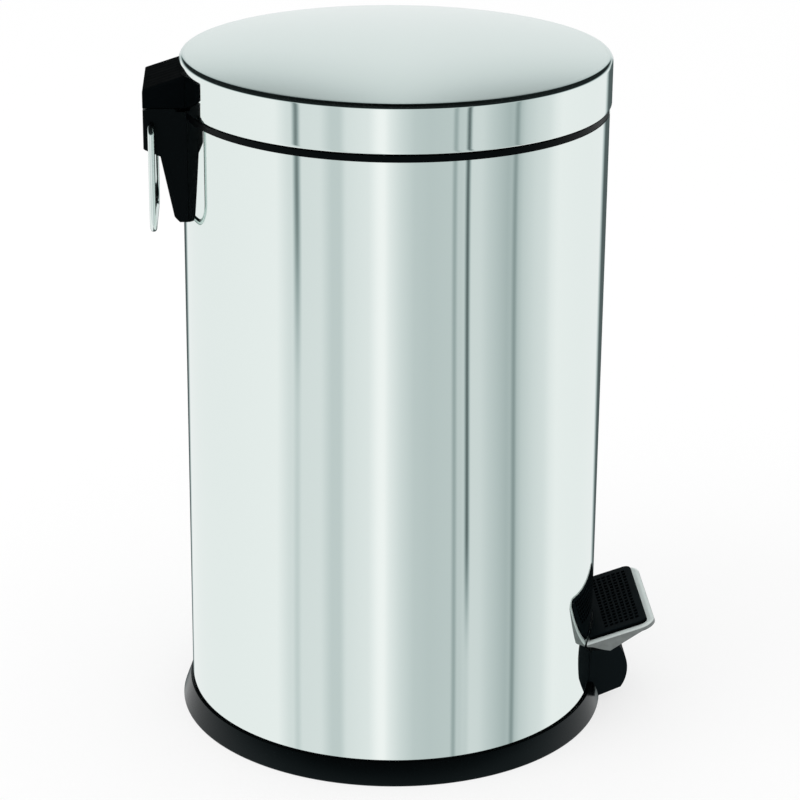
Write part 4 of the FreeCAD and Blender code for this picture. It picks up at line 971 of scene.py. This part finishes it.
class PEDALBIN_OT_stage(bpy.types.Operator):
    """Set up the floor, the light and the camera"""

    bl_idname = "pedalbin.stage"
    bl_label = "Studio"

    def execute(self, context):
        stage = context.scene.bin_stage
        corners = np.array([(-1, -1, 0), (1, -1, 0), (1, 1, 0), (-1, 1, 0)]) * stage.floor
        floor = bpy.data.objects.new("floor", mesh_of("floor", corners, np.arange(4)[None, :]))
        floor.data.materials.append(pale_floor(stage))
        context.scene.collection.objects.link(floor)
        light_world(stage)
        key = bpy.data.lights.new("soft_key", "AREA")
        key.shape = "DISK"
        key.size = stage.lamp_size
        key.energy = stage.lamp_power
        lamp = bpy.data.objects.new("soft_key", key)
        lamp.location = stage.lamp_place
        sight = Vector((0.0, 0.0, stage.lamp_aim)) - lamp.location
        lamp.rotation_euler = sight.to_track_quat("-Z", "Y").to_euler()
        lamp.visible_glossy = False
        context.scene.collection.objects.link(lamp)
        camera = bpy.data.objects.new("camera", bpy.data.cameras.new("camera"))
        camera.data.sensor_width = SENSOR
        camera.data.lens = stage.lens * MILLIMETRES
        camera.data.clip_start = NEAREST
        away = Vector((math.sin(stage.side), -math.cos(stage.side), 0.0))
        camera.location = away * stage.distance + Vector((0.0, 0.0, stage.height))
        heading = Matrix.Rotation(stage.side + stage.yaw, 4, "Z")
        tilt = Matrix.Rotation(math.pi / 2 - stage.down, 4, "X")
        camera.rotation_euler = (heading @ tilt @ Matrix.Rotation(stage.roll, 4, "Z")).to_euler()
        context.scene.collection.objects.link(camera)
        context.scene.camera = camera
        context.scene.view_settings.view_transform = "Standard"
        return {"FINISHED"}


class PEDALBIN_PT_panel(bpy.types.Panel):
    """Lists the pieces and their settings"""

    bl_idname = "PEDALBIN_PT_panel"
    bl_label = "Pedal bin"
    bl_space_type = "VIEW_3D"
    bl_region_type = "UI"
    bl_category = "Pedal bin"

    def draw(self, context):
        for operator in OPERATORS:
            self.layout.operator(operator.bl_idname)
        for group in GROUPS:
            box = self.layout.box()
            settings = getattr(context.scene, group)
            for name in settings.__annotations__:
                box.prop(settings, name)


GROUPS = {
    "bin_body": PEDALBIN_PG_body,
    "bin_pedal": PEDALBIN_PG_pedal,
    "bin_finish": PEDALBIN_PG_finish,
    "bin_stage": PEDALBIN_PG_stage,
}
OPERATORS = (
    PEDALBIN_OT_body,
    PEDALBIN_OT_lid,
    PEDALBIN_OT_rings,
    PEDALBIN_OT_hinge,
    PEDALBIN_OT_tread,
    PEDALBIN_OT_pad,
    PEDALBIN_OT_mechanism,
    PEDALBIN_OT_stage,
)


def register():
    """Register the settings, the operators and the panel."""
    for name, group in GROUPS.items():
        bpy.utils.register_class(group)
        setattr(bpy.types.Scene, name, bpy.props.PointerProperty(type=group))
    for operator in OPERATORS:
        bpy.utils.register_class(operator)
    bpy.utils.register_class(PEDALBIN_PT_panel)


def unregister():
    """Take everything out again, in the opposite order."""
    bpy.utils.unregister_class(PEDALBIN_PT_panel)
    for operator in reversed(OPERATORS):
        bpy.utils.unregister_class(operator)
    for name, group in reversed(GROUPS.items()):
        delattr(bpy.types.Scene, name)
        bpy.utils.unregister_class(group)


def main():
    """Build every piece in order."""
    register()
    for operator in OPERATORS:
        group, name = operator.bl_idname.split(".")
        getattr(getattr(bpy.ops, group), name)()


if __name__ == "__main__":
    main()
